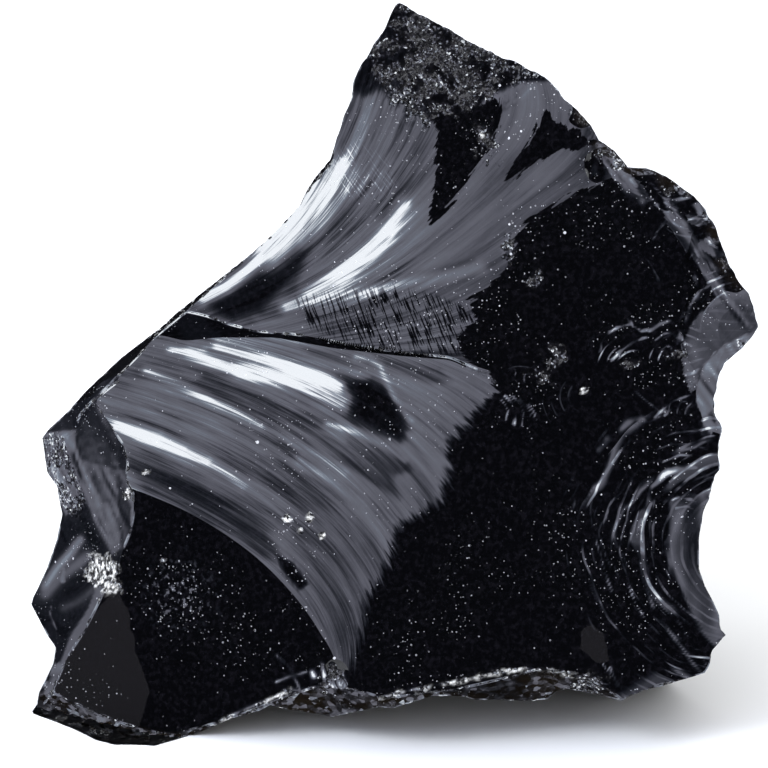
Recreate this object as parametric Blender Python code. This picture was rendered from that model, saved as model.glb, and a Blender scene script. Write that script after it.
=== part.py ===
"""Obsidian chunk: one solid lump of volcanic glass that stands on a flat base.

The stone is drafted on a sheet that leans back from the viewer by LEAN degrees.
Sheet coordinates are millimetres: a runs right, b runs up, c is the depth behind it.
The broad front is a set of fracture faces, each a depth over the sheet; at every
place the face that cuts deepest is the one that shows.  The back is made the same
way, and the two sheets meet along one outline, the sharp edge of the stone.
"""
import math

import bmesh
import bpy
import numpy as np

# ---- sizes, millimetres and degrees ----
LEAN = 20.0            # lean of the drafting sheet
REACH = 900.0          # the sheet's depths spread by c / REACH
CENTRE_HEIGHT = 54.45  # height of the sheet's centre above the base
HEART = (2.4, -5.4)    # middle of the outline on the sheet
CELLS = 104            # cells across the front before thinning
TRIANGLES = 8200       # triangles left after thinning
RIPPLE_HEIGHT = 0.14   # crest height of the shell ripples at the right edge
RIPPLE_PITCH = 2.0     # distance from crest to crest
SCAR_REACH = 22.4      # from the blow to the scar's rim
SCOOP_REACH = 9.3      # radius of the hollow under the corner
GRAIN_HEIGHT = 0.35    # crumbly cap under the peak
LEDGE_WIDTH = 1.4      # least width of the ledge, seen along the sheet's depth

# Outline of the stone on the sheet, clockwise from the peak.
OUTLINE = """
1.8,57.0 4.2,56.2 7.4,54.6 10.6,52.8 14.0,51.0 17.8,49.0 21.0,47.5 22.7,47.1 24.5,45.9
26.4,43.5 28.2,42.0 31.0,38.8 32.3,36.6 34.5,35.1 36.6,32.6 39.5,32.4 42.6,31.0 46.0,28.5
47.4,27.3 49.7,23.8 51.2,19.3 53.1,15.7 54.7,13.5 55.6,10.8 56.3,8.6 55.4,7.2 53.7,5.4
51.0,3.2 50.2,.8 49.5,-2.1 49.5,-4.4 50.6,-6.0 50.7,-7.2 50.1,-10.0 50.4,-12.9 49.6,-13.8
48.8,-17.3 48.0,-18.8 47.7,-20.7 47.3,-23.0 47.3,-27.8 48.2,-30.3 49.5,-32.9 50.3,-34.7
50.4,-36.8 51.3,-37.7 50.7,-38.3 49.2,-40.1 48.9,-42.0 48.1,-43.4 45.2,-44.3 41.7,-45.3
38.7,-46.1 35.7,-47.6 32.7,-46.8 27.6,-45.8 24.6,-47.3 22.5,-47.6 18.2,-47.4 13.7,-47.4
11.6,-46.8 7.4,-46.8 4.4,-47.7 1.5,-48.6 -1.1,-48.5 -4.2,-49.2 -7.7,-50.0 -9.9,-49.5
-14.3,-48.9 -17.1,-48.2 -18.8,-49.1 -23.1,-50.3 -27.5,-52.2 -32.3,-53.7 -34.4,-54.3
-40.4,-54.2 -43.2,-53.4 -46.1,-52.1 -49.0,-50.9 -53.0,-49.4 -52.1,-48.0 -51.8,-46.2
-51.0,-44.9 -49.7,-42.0 -49.2,-39.6 -50.7,-37.4 -51.8,-35.4 -53.0,-33.0 -52.7,-32.1
-50.6,-27.6 -49.1,-23.3 -48.3,-19.5 -49.1,-15.5 -50.6,-13.2 -51.3,-8.1 -50.1,-6.6
-47.4,-4.1 -44.6,-.9 -39.3,4.1 -33.6,8.4 -30.8,11.0 -25.5,15.2 -19.8,19.7 -16.4,22.8
-12.6,26.9 -11.6,29.1 -9.9,31.7 -8.1,33.6 -7.1,37.2 -5.9,40.8 -4.8,43.2 -4.7,45.8
-2.9,48.8 -1.4,51.3 -.2,53.0 .7,54.8
"""
# Ridge above the chips along the foot, left to right.
FOOT_RIDGE = """
-53,-45.9 -50,-46.2 -46.7,-47.7 -43.5,-49.2 -38.9,-51 -34.4,-52.2 -31.2,-52.5 -27.5,-51.5
-23.1,-50.3 -17.1,-47.9 -11.4,-45.8 -8.6,-45 -3.6,-46.1 -1.1,-46.8 4.4,-46.7 8.1,-46.1
14.4,-45 18.8,-43.9 23.1,-42.8 26,-42.9 30.8,-43.4 35.9,-47.4 41.4,-45 50.4,-43.2
"""
# Ridge between the front and the steep left flank, top to bottom.
FLANK_RIDGE = """
-39.6,.6 -43.7,-2.6 -41.7,-5 -40.2,-7.5 -39,-9.2 -38.4,-11.9 -38.7,-14.4 -37.7,-16.4
-38,-22.1 -39,-24.5 -39.6,-26.1 -39.6,-28.2 -42.3,-31.7 -43.5,-34.2 -45.2,-37.4 -46.7,-39.6
-48,-42 -49.2,-44.9 -50,-46.2 -51.5,-49
"""
# Inner edge of the narrow strip that follows the hollow upper left edge.
STRIP_RIDGE = """
-7.6,34 -11.3,30 -16.6,23.2 -25.3,15.4 -30.4,11 -34.2,7.2 -37.1,4.1 -40.5,.6 -43.6,-2.4
-45.6,-4.7 -46.2,-6.3 -48.3,-8.4 -50.1,-9.9
"""

# The ledge between the two broad faces: its upper and its lower edge.
LEDGE_TOP = """
-39.6,11.2 -30.4,11.1 -26.4,10.2 -23.8,9.2 -19.2,7.9 -13.5,7.5 -10.7,7 -5,5.8 3.8,4.6 9.9,4
24.1,-2.4 32.4,-6.1 62.4,-12.9
"""
LEDGE_FOOT = """
-39.6,7.2 -33.6,7.3 -29.8,6.5 -25.1,7 -16.3,7 -7.8,5.4 2.4,4.2 9.9,3.6 24.1,-3 32.4,-6.9
62.4,-13.7
"""
# Streak lines of the two broad faces, numbered across the flow.
UPPER_FLOW = [
    (0, "-29.1,11.8 -24.6,16.3 -19.8,19.6 -16.3,22.8 -12.6,26.8 -9.9,31.6 -7,37.2 -5.1,43.2"),
    (1, "-27.6,11.8 -21.6,15.6 -15.6,20.1 -10.3,25.3 -5.8,31.3 -2.9,38.1 -0.6,44.1"),
    (2, "-26.8,11.1 -20.1,12.9 -12.6,17.8 -5.8,24.6 -0.6,30.6 3.9,36.6 6.1,41.1"),
    (3, "-25.3,10.3 -17.1,11.4 -9.6,14.8 -3.6,19.8 2.4,24.6 7.2,29.8 10.7,36.6 12.9,42.6"),
    (4, "-23.1,9.6 -12.6,10.3 -5.1,14.8 2.4,19.8 9.9,25.3 14.4,30.6 18.1,38.1 21.9,44.9"),
    (5, "-15.6,8.8 -6.6,10.3 2.4,15.3 11.4,20.1 18.9,26.1 24.9,31.3 32.4,35.9"),
    (6, "-8.1,7.3 2.4,10.3 12.9,14.4 21.9,18.9 30.9,23.8 38.4,27.6"),
    (7, "2.4,5.1 12.9,8.1 23.4,11.1 35.4,14.1 45.9,17.1"),
]
LOWER_FLOW = [
    (0, "-37.6,-16.3 -30.1,-19.5 -24.4,-23.2 -17.2,-28.5 -11.4,-34 -9,-42"),
    (1, "-38.1,-12.2 -30.6,-15.1 -23.1,-18.9 -15.6,-24.1 -8.8,-30.9 -5.4,-39.9"),
    (2, "-39.9,-6.9 -33.6,-8.4 -27.6,-12.2 -20.1,-16.6 -12.6,-21.9 -5.8,-28.6 -2.4,-36.9"),
    (3, "-38.9,-2.4 -30.6,-4.6 -21.6,-9.2 -12.6,-14.4 -5.1,-21.1 0.1,-30.1"),
    (4, "-36.6,1.3 -27.6,-1.6 -18.6,-5.4 -9.6,-10.7 -2.1,-17.4 3.1,-24.9"),
    (5, "-35.1,4.3 -26.1,2.1 -17.1,-1.6 -8.1,-6.1 0.1,-12.2 6.1,-20.4"),
    (6, "-32.9,6.6 -23.1,4.3 -12.6,0.9 -3.6,-3.9 3.9,-9.2 9.9,-17.4"),
    (7, "-20.1,6.6 -9.6,3.6 -0.6,-0.9 6.9,-5.4 13.7,-12.9"),
    (8, "-5.1,5.4 3.9,2.1 11.4,-2.4 18.9,-9.9"),
]
# Slopes: how fast each broad face, rib, scar and hollow falls away, as (place, slope).
LOWER_FALL = [(-60, 0), (-14, 0), (-8, .05), (-2, .17), (8, .19), (23, .19), (29, .29), (40, .34), (90, .34)]
LOWER_RIBS = [(-3, 0), (-.1, 0), (.3, .14), (1.4, .14), (1.8, -.02), (2.4, .0), (2.75, .17),
              (3.7, .18), (4.05, -.02), (4.2, -.02), (4.5, .16), (5.1, .10), (5.5, -.01), (6.7, -.03),
              (7.2, .10), (8, .12), (12, .12)]
UPPER_RIBS = [(-3, .1), (-.3, .08), (.2, .0), (1.05, .02), (1.4, .16), (1.8, .26), (2.5, .26), (3.0, .07),
              (3.35, -.04), (4.0, -.06), (4.25, .04), (4.5, .07), (4.65, -.02), (4.8, .05), (5.3, .04),
              (5.8, .06), (6.5, .08), (7.5, .10), (12, .10)]
UPPER_HOLLOW = [(0, -.3), (34, 0), (44, .12), (56, .16), (66, .10), (76, -.05), (110, -.05)]
SCAR_FALL = [(-90, 0), (0, 0), (.5, .22), (1.3, .05), (7.6, .05), (8.1, .6), (9.6, .14), (12, .12),
             (13.2, .3), (40, .3)]
SCOOP_FALL = [(-90, 1.4), (0, 1.4), (.7, .9), (1.5, -.05), (2.3, -.28), (7.4, -.33), (9.3, 0), (12, 0)]
SCAR_HEART = (54.2, -25.7)
SCOOP_HEART = (53.7, 8.1)
NOTCH_HEART = (52.8, -1.8)


def points(text):
    return np.array([[float(v) for v in pair.split(",")] for pair in text.split()])


def step(x, start, end):
    t = np.clip((x - start) / (end - start), 0, 1)
    return t * t * (3 - 2 * t)


def bend(x, start, end):
    """Flat before start, slope 1 after end, turning gently between them."""
    t = np.clip((x - start) / (end - start), 0, 1)
    return (end - start) * (t**3 - t**4 / 2) + np.maximum(x - end, 0)


def profile(x, knots):
    """Heights whose slope passes smoothly through the knots (place, slope)."""
    places, slopes = np.array(knots).T
    fine = np.linspace(places[0], places[-1], 600)
    i = np.clip(np.searchsorted(places, fine, side="right") - 1, 0, len(places) - 2)
    s = (fine - places[i]) / (places[i + 1] - places[i])
    s = s * s * (3 - 2 * s)
    slope = slopes[i] * (1 - s) + slopes[i + 1] * s
    height = np.r_[0, np.cumsum((slope[1:] + slope[:-1]) / 2 * np.diff(fine))]
    return np.interp(x, fine, height) - np.interp(0, fine, height)


def terms(a, b):
    """Products of powers of a and b up to the fourth."""
    x, y = a / 60, b / 60
    return np.stack([x**i * y**j for i in range(5) for j in range(5 - i)], -1)


def flow(guides):
    """Fit a smooth number between the numbered streak lines."""
    rows, numbers = [], []
    for number, text in guides:
        line = points(text)
        run = np.r_[0, np.cumsum(np.hypot(*np.diff(line, axis=0).T))]
        t = np.linspace(0, run[-1], 14)
        rows.append(terms(np.interp(t, run, line[:, 0]), np.interp(t, run, line[:, 1])))
        numbers += [number] * 14
    rows = np.concatenate(rows + [2e-3 * np.eye(15)])
    return np.linalg.lstsq(rows, np.r_[numbers, np.zeros(15)], rcond=None)[0]


def beyond(a, b, p, q):
    """Distance to the upper left of the line from p to q."""
    along = np.array([q[0] - p[0], q[1] - p[1]]) / math.dist(p, q)
    return (a - p[0]) * along[1] - (b - p[1]) * along[0]


def hill(a, b, at, wide, high):
    return np.exp(-(((a - at[0]) / wide) ** 2 + ((b - at[1]) / high) ** 2))


def ridge(x, text, down=False):
    """Follow a ridge line, its corners a little rounded."""
    line = points(text)
    xs, ys = (-line[:, 1], line[:, 0]) if down else (line[:, 0], line[:, 1])
    return np.mean([np.interp(x + d, xs, ys) for d in (-1.2, -.6, 0, .6, 1.2)], axis=0)


def crumble(a, b, pitch):
    """Uneven small lumps, as sums of crossed waves."""
    k = 2 * math.pi / pitch
    return (np.sin(k * a + 1.3 * np.sin(.7 * k * b)) * np.sin(.83 * k * b + 1.1 * np.sin(.6 * k * a))
            + .5 * np.sin(1.9 * k * (.8 * a + .6 * b)) * np.sin(1.7 * k * (.6 * a - .8 * b)))


def scar_reach(a, b):
    """Distance from the blow on the right edge; the rings reach further to the upper left."""
    x, y = a - SCAR_HEART[0], b - SCAR_HEART[1]
    away = np.hypot(x, y)
    return away - .1 * (y - x)


def right_scar(a, b, face):
    """Shell-shaped scar struck from the right edge, in two tiers, with rings round the blow."""
    inward = SCAR_REACH - scar_reach(a, b)
    rings = RIPPLE_HEIGHT * np.cos(2 * math.pi * inward / RIPPLE_PITCH)
    rings = rings * step(inward, 1, 5) * step(inward, 19, 15)
    return face + profile(inward, SCAR_FALL) - .2 * np.maximum(-inward, 0) + rings


def scoop(a, b, face):
    """Smooth hollow under the right-hand corner, which is left standing as a horn."""
    inward = SCOOP_REACH - np.hypot(a - SCOOP_HEART[0], b - SCOOP_HEART[1])
    return face + profile(inward, SCOOP_FALL)


def notch(a, b, face):
    """Small bite in the right edge below the horn."""
    return face + .6 * (6.0 - np.hypot(a - NOTCH_HEART[0], (b - NOTCH_HEART[1]) / 1.25))


def bite(a, b, at, size, deep, face):
    """A shallow spall of the given radius."""
    r = np.hypot(a - at[0], b - at[1]) / size
    return face + deep * (1 - r * r)


def lower_face(a, b):
    """Wide lower face: flat to the right, leaning away to the upper left, with ribs along the streaks."""
    w = beyond(a, b, (24.2, -2.4), (-2.1, -38.4))
    depth = .4 + profile(w, LOWER_FALL) - profile(-60, LOWER_FALL) + .0013 * np.maximum(-w - 10, 0) ** 2
    q = np.clip(terms(a, b) @ LOWER_FIT, -1, 10)
    ribs = profile(q, LOWER_RIBS) * 6 * (.25 + .75 * step(w, 8, 32)) * step(w, -8, 4)
    return depth, ribs


def upper_face(a, b):
    """Upper face: a hollow fan of ribs that spread from the left-hand hinge."""
    u = beyond(a, b, (33.9, 36.6), (17.4, 5.1))
    depth = 1.6 + 1.6 * step(a, 34, 16) + .40 * bend(u, -14, 26) + .0035 * np.maximum(-u - 10, 0) ** 2
    q = np.clip(terms(a, b) @ UPPER_FIT, -1, 9)
    far = np.hypot(a + 33, b - 7.5)
    depth = depth + profile(far, UPPER_HOLLOW) + 5.1
    ribs = (profile(q, UPPER_RIBS) - profile(4.6, UPPER_RIBS)) * .14 * far
    depth = depth + ribs * step(u, -6, 4)
    # a long shoulder brings it back to the lower face on the right
    shoulder = step(b - ridge(a, LEDGE_TOP), 22, 2) * step(a, 8, 24)
    return depth - (depth - lower_face(a, b)[0] - .5) * shoulder


def front(a, b):
    """Depth of the front at every sheet place."""
    plain, ribs = lower_face(a, b)
    upper = upper_face(a, b)
    cap = hill(a, b, (9, 46), 15, 10)
    upper = upper + GRAIN_HEIGHT * crumble(a, b, 4.2) * step(cap, .3, .8)
    # the ledge where the upper face steps down to the lower one
    foot = ridge(a, LEDGE_FOOT)
    top = np.maximum(ridge(a, LEDGE_TOP), foot + LEDGE_WIDTH)
    low = sum(lower_face(a, foot))
    rise = np.maximum(upper_face(a, top) - low, .4)
    upper = np.minimum(upper, low + rise * (b - foot) / (top - foot))
    lower = plain + ribs - 1.5 * np.maximum(b - foot - .3, 0) * step(a, 34, 14)
    corner = plain + .30 * (49.6 - np.hypot((a + 53.5) / 1.04, b + 62.9))
    # towards the right the two faces run into one another
    soft = 3.0 * step(a, 12, 30)
    face = (lower + upper + np.sqrt((lower - upper) ** 2 + soft**2) - soft * .6) / 2
    face = np.maximum(face, corner)
    cuts = [face]
    cuts.append(face + 1.1 * (ridge(-b, FLANK_RIDGE, down=True) - a))
    cuts.append(face + 1.6 * (ridge(-b, STRIP_RIDGE, down=True) - a) * step(b, -12, -4)
                - 40 * step(b, 36, 40))
    cuts.append(face + 1.5 * (ridge(a, FOOT_RIDGE) - b))
    cuts.append(right_scar(a, b, face))
    cuts.append(scoop(a, b, face))
    cuts.append(notch(a, b, face))
    for at, size, deep in BITES:
        cuts.append(bite(a, b, at, size, deep, face))
    return np.max(cuts, axis=0)


# Spalls: place on the sheet, radius, depth.
BITES = [((46, 30), 5.0, 2.2), ((38, 35), 4.2, 1.6), ((50.5, 19), 5.2, 2.4), ((31, 42), 3.4, 1.2),
         ((33, 33.2), 2.6, .8), ((-48, -22), 5.0, 1.6), ((-7.8, -44.2), 2.4, .8)]
UPPER_FIT = flow(UPPER_FLOW)
LOWER_FIT = flow(LOWER_FLOW)


def back(a, b):
    """Depth of the back: broad flat breaks and two shells."""
    cuts = [51.5 + .06 * a - .10 * b,
            15.0 + 1.7 * (57 - a) + .15 * b,
            32.0 + 1.0 * (a + 53) - .12 * b,
            26.0 + 1.05 * (a * .75 - b * .66 + 29.5),
            20.0 + 1.5 * (58 - b),
            13.0 + 1.2 * ((33 - a) * .57 + (38 - b) * .82 + 3)]
    shells = [((33, 20), 36, 5.0), ((-34, -34), 33, 4.2), ((20, -44), 20, 2.6)]
    depth = np.min(cuts, axis=0)
    for at, size, deep in shells:
        r = np.hypot(a - at[0], b - at[1]) / size
        bowl = deep * 4 * r * (1 - r) + .22 * step(r, .3, .7) * np.cos(r * size * 1.9)
        depth = np.where(r < 1, np.minimum(depth, cuts[0] - np.maximum(bowl, 0)), depth)
    return depth


def outline_reach(turn):
    """Distance from the heart to the outline in each direction."""
    rim = points(OUTLINE) - np.array(HEART)
    angle = np.unwrap(np.arctan2(rim[:, 1], rim[:, 0]))[::-1]
    far = np.hypot(rim[:, 0], rim[:, 1])[::-1]
    angle, far = np.r_[angle, angle[0] + 2 * math.pi], np.r_[far, far[0]]
    turn = (turn - angle[0]) % (2 * math.pi) + angle[0]
    # straight edges between the outline's corners
    i = np.clip(np.searchsorted(angle, turn) - 1, 0, len(angle) - 2)
    x0, y0 = far[i] * np.cos(angle[i]), far[i] * np.sin(angle[i])
    x1, y1 = far[i + 1] * np.cos(angle[i + 1]), far[i + 1] * np.sin(angle[i + 1])
    cross = x0 * (y1 - y0) - y0 * (x1 - x0)
    return cross / (np.cos(turn) * (y1 - y0) - np.sin(turn) * (x1 - x0))


def soft_reach(turn):
    """The same distance with the small notches smoothed away."""
    nearby = [outline_reach(turn + d) for d in np.linspace(-.16, .16, 9)]
    return np.mean(nearby, axis=0)


def spread(u, v):
    """Square grid place (-1..1) to a turn and a share of the way to the outline."""
    big = np.maximum(np.abs(u), np.abs(v))
    wide = np.abs(u) >= np.abs(v)
    safe_u, safe_v = np.where(u == 0, 1, u), np.where(v == 0, 1, v)
    turn = np.where(wide, math.pi / 4 * v / safe_u, math.pi / 2 - math.pi / 4 * u / safe_v)
    turn = turn + np.where(np.where(wide, u, v) < 0, math.pi, 0)
    return turn, big


def sheet_place(turn, share):
    full, soft = outline_reach(turn), soft_reach(turn)
    reach = share * (soft + (full - soft) * share**6)
    return HEART[0] + reach * np.cos(turn), HEART[1] + reach * np.sin(turn)


def to_stone(a, b, c):
    """Sheet place and depth to metres, z up from the base."""
    lean = math.radians(LEAN)
    k = 1 + c / REACH
    up, deep = b * k, c
    return np.stack([a * k, up * math.sin(lean) + deep * math.cos(lean),
                     CENTRE_HEIGHT + up * math.cos(lean) - deep * math.sin(lean)], -1) / 1000


def move(bm_verts, places):
    for vert, place in zip(bm_verts, places):
        vert.co = place


def grid_part(cells, shape):
    """One square grid laid over the outline and pushed to its depth."""
    bm = bmesh.new()
    bmesh.ops.create_grid(bm, x_segments=cells, y_segments=cells, size=1)
    uv = np.array([v.co[:2] for v in bm.verts])
    turn, share = spread(uv[:, 0], uv[:, 1])
    move(bm.verts, to_stone(*shape(turn, np.minimum(share, 1))))
    return bm


def front_shape(turn, share):
    a, b = sheet_place(turn, share)
    return a, b, front(a, b)


def back_shape(turn, share):
    share = 1 - (1 - share) ** 1.35
    a, b = sheet_place(turn, share)
    rim_a, rim_b = sheet_place(turn, np.ones_like(share))
    rim = front(rim_a, rim_b)
    inward = (1 - share) * soft_reach(turn)
    below = step(-np.sin(turn), .25, .9)
    steep = rim + inward * (3.4 + 30 * below**2)
    depth = np.minimum(back(a, b), steep)
    lip = rim + .7 * inward - .07 * inward**2
    return a, b, np.where(share >= 1, rim, np.maximum(depth, lip))


def add_to(target, source):
    mesh = bpy.data.meshes.new("sheet")
    source.to_mesh(mesh)
    target.from_mesh(mesh)
    bpy.data.meshes.remove(mesh)
    source.free()


def cut_base(bm):
    """Slice the foot flat and close it with one face."""
    cut = bmesh.ops.bisect_plane(bm, geom=bm.verts[:] + bm.edges[:] + bm.faces[:], dist=1e-7,
                                 plane_co=(0, 0, 0), plane_no=(0, 0, -1), clear_outer=True)
    rim = [e for e in cut["geom_cut"] if isinstance(e, bmesh.types.BMEdge)]
    bmesh.ops.edgenet_fill(bm, edges=rim)


def build():
    for old in list(bpy.data.objects):
        bpy.data.objects.remove(old)
    stone = grid_part(CELLS, front_shape)
    add_to(stone, grid_part(CELLS, back_shape))
    bmesh.ops.remove_doubles(stone, verts=stone.verts[:], dist=2e-6)
    bmesh.ops.recalc_face_normals(stone, faces=stone.faces[:])
    mesh = bpy.data.meshes.new("obsidian_chunk")
    stone.to_mesh(mesh)
    stone.free()
    chunk = bpy.data.objects.new("obsidian_chunk", mesh)
    bpy.context.scene.collection.objects.link(chunk)
    return chunk


def thin_out(chunk):
    """Fewer triangles on the calm faces, all of them kept on ridges and ripples."""
    bpy.context.view_layer.objects.active = chunk
    chunk.select_set(True)
    count = sum(len(p.vertices) - 2 for p in chunk.data.polygons)
    thin = chunk.modifiers.new("thin", "DECIMATE")
    thin.ratio = TRIANGLES / count
    bpy.ops.object.modifier_apply(modifier="thin")
    bm = bmesh.new()
    bm.from_mesh(chunk.data)
    cut_base(bm)
    bmesh.ops.triangulate(bm, faces=bm.faces[:])
    bmesh.ops.recalc_face_normals(bm, faces=bm.faces[:])
    xs, ys = [v.co.x for v in bm.verts], [v.co.y for v in bm.verts]
    middle = (-(min(xs) + max(xs)) / 2, -(min(ys) + max(ys)) / 2, 0)
    bmesh.ops.translate(bm, verts=bm.verts[:], vec=middle)
    bm.to_mesh(chunk.data)
    bm.free()


def glass():
    mat = bpy.data.materials.new("black_glass")
    mat.use_nodes = True
    shader = mat.node_tree.nodes["Principled BSDF"]
    shader.inputs["Base Color"].default_value = (.006, .006, .007, 1)
    shader.inputs["Roughness"].default_value = .12
    shader.inputs["Metallic"].default_value = 0
    return mat


chunk = build()
thin_out(chunk)
chunk.data.materials.append(glass())
chunk.data.set_sharp_from_angle(angle=math.radians(24))
for face in chunk.data.polygons:
    face.use_smooth = True
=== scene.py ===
import math

import bpy
import mathutils
import numpy as np
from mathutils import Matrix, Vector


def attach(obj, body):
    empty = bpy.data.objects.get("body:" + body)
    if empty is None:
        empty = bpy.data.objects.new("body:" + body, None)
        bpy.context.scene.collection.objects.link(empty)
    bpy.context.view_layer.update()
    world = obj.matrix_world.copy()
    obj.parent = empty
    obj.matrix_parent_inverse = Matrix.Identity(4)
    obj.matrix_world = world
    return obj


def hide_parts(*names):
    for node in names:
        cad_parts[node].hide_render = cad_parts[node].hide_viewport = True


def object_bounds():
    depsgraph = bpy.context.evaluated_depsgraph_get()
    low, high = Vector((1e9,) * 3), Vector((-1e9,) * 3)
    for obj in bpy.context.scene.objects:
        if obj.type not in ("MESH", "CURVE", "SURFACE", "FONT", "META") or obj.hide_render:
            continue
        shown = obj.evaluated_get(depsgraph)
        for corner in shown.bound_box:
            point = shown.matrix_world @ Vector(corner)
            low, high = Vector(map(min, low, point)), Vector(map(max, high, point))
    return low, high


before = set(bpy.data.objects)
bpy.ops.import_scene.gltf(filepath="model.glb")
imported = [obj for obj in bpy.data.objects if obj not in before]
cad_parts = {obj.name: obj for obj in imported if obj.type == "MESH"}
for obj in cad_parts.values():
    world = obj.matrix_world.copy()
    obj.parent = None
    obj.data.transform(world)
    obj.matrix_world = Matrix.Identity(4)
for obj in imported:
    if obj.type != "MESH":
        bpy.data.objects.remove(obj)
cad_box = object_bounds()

# ---------------------------------------------------------------------------
# The stone: one lump of black volcanic glass, broken all round by blows.
# Every face is a fracture, smooth and a little hollow or domed, with streaks
# and ripples; it lies loose on its lowest facets.
# ---------------------------------------------------------------------------

# It is drafted on a sheet that leans back: a runs right, b runs up, both in
# millimetres, and c is the depth behind the sheet.
LEAN = math.radians(20)
REACH = 900.0  # from the sheet to the point where the lines of sight meet
CENTRE_HEIGHT = 54.45
HEART = np.array([2.4, -5.4])
GRID_MIDDLE = 384
GRID_SQUARE = .15


def draft(text):
    """Places on the drafting grid, counted in squares from its top left corner, to sheet millimetres."""
    grid = np.array([[float(v) for v in pair.split(",")] for pair in text.split()])
    return np.stack([(grid[:, 0] - GRID_MIDDLE) * GRID_SQUARE, (GRID_MIDDLE - grid[:, 1]) * GRID_SQUARE], 1)


def step(x, start, end):
    """0 before start, 1 after end, easing with the fifth-order curve between."""
    t = np.clip((x - start) / (end - start), 0, 1)
    return t * t * t * (t * (6 * t - 15) + 10)


def bend(x, start, end):
    """Flat before start, slope 1 after end, turning gently between them."""
    t = np.clip((x - start) / (end - start), 0, 1)
    return (end - start) * (t**3 - t**4 / 2) + np.maximum(x - end, 0)


def noise(x, y, seed):
    """Random heights at whole places, blended with the fifth-order curve."""
    table = np.random.default_rng(seed).random((256, 256)) * 2 - 1
    i, j = np.floor(x).astype(int), np.floor(y).astype(int)
    s, t = x - i, y - j
    s, t = (v * v * v * (v * (6 * v - 15) + 10) for v in (s, t))
    i0, j0, i1, j1 = i % 256, j % 256, (i + 1) % 256, (j + 1) % 256
    low = table[i0, j0] * (1 - s) + table[i1, j0] * s
    high = table[i0, j1] * (1 - s) + table[i1, j1] * s
    return low * (1 - t) + high * t


def rough(x, y, seed, turns=3):
    """Sum of noises, each half as wide and half as high as the one before."""
    total = 0
    for k in range(turns):
        total = total + noise(x * 2**k + 7.3 * k, y * 2**k - 3.1 * k, seed + k) / 2**k
    return total


def beyond(a, b, p, q):
    """Distance to the upper left of the line from p to q."""
    along = np.array([q[0] - p[0], q[1] - p[1]]) / math.dist(p, q)
    return (a - p[0]) * along[1] - (b - p[1]) * along[0]


def terms(a, b):
    """Products of powers of a and b up to the fourth."""
    x, y = a / 60, b / 60
    return np.stack([x**i * y**j for i in range(5) for j in range(5 - i)], -1)


def flow(guides):
    """Number the streak lines from 0 up, and fit a smooth number between them."""
    rows, numbers, runs = [], [], []
    for number, text in guides:
        line = draft(text)
        run = np.r_[0, np.cumsum(np.hypot(*np.diff(line, axis=0).T))]
        t = np.linspace(0, run[-1], 14)
        rows.append(terms(np.interp(t, run, line[:, 0]), np.interp(t, run, line[:, 1])))
        numbers += [number] * 14
        runs += list(t)
    rows = np.concatenate(rows)
    ridge = 2e-3 * np.eye(rows.shape[1])
    rows, extra = np.r_[rows, ridge], np.zeros(len(ridge))
    return (np.linalg.lstsq(rows, np.r_[numbers, extra], rcond=None)[0],
            np.linalg.lstsq(rows, np.r_[runs, extra], rcond=None)[0])


def profile(x, knots):
    """Heights whose slope passes through the knots (place, slope)."""
    places, slopes = np.array(knots).T
    fine = np.linspace(places[0], places[-1], 600)
    t = np.clip(np.searchsorted(places, fine, side="right") - 1, 0, len(places) - 2)
    s = (fine - places[t]) / (places[t + 1] - places[t])
    s = s * s * (3 - 2 * s)
    slope = slopes[t] * (1 - s) + slopes[t + 1] * s
    height = np.r_[0, np.cumsum((slope[1:] + slope[:-1]) / 2 * np.diff(fine))]
    i = np.clip(np.searchsorted(fine, x) - 1, 0, len(fine) - 2)
    d = x - fine[i]
    return height[i] + slope[i] * d + (slope[i + 1] - slope[i]) / (fine[1] - fine[0]) * d * d / 2


OUTLINE = draft("""
396,4 400,2 406,4 412,9 433,20 455,32 477,44 503,57 513,60 524,67 535,70 547,78 551,81 560,94
572,104 591,125 599,140 614,150 628,167 647,168 668,177 691,194 700,202 715,225 725,255 738,279
749,294 755,312 759,327 753,336 742,348 724,363 719,379 714,398 714,413 721,424 722,432 718,451
720,470 715,476 709,499 704,509 702,522 699,537 699,560 699,569 705,586 714,603 719,615 720,629
726,635 722,639 712,651 710,664 705,673 685,679 662,686 642,691 630,696 622,701 602,696 589,693
568,689 556,691 548,699 534,701 505,700 475,700 461,696 433,696 413,702 394,708 377,707 356,712
333,717 318,714 289,710 270,705 259,711 230,719 201,732 169,742 155,746 144,745 115,745 96,740
77,731 58,723 31,713 37,704 39,692 44,683 53,664 56,648 46,633 39,620 31,604 33,598 47,568 57,539
62,514 57,487 47,472 42,438 50,428 68,411 87,390 122,357 160,328 179,311 214,283 252,253 275,232
300,205 307,190 318,173 330,160 337,136 340,128 345,112 352,96 353,79 365,59 375,42 383,31 389,19
""")
FOOT_RIDGE = draft("""
31,690 51,692 73,702 94,712 125,724 155,732 176,734 201,727 230,719 270,703 308,689 327,684
360,691 377,696 392,697 413,695 438,691 461,688 480,684 509,677 538,669 557,670 570,673 589,673
602,685 623,700 660,684 720,672
""")
FLANK_RIDGE = draft("""
120,380 93,401 106,417 116,434 124,445 128,463 126,480 133,493 134,510 131,530 124,547 120,558
120,572 112,581 102,595 94,612 83,633 73,648 64,664 56,683 51,692 44,705
""")
STRIP_RIDGE = draft("""
334,160 311,187 276,232 217,284 184,313 156,336 137,357 114,380 93,400 80,415 76,426 62,440 50,450
""")
HINGE = (-33, 7.5)  # where the ribs of the upper face spread from
FAN_WIDTH = .14  # width of one streak number there, for each millimetre from the hinge
LOWER_WIDTH = 6  # and on the lower face, in millimetres
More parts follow.
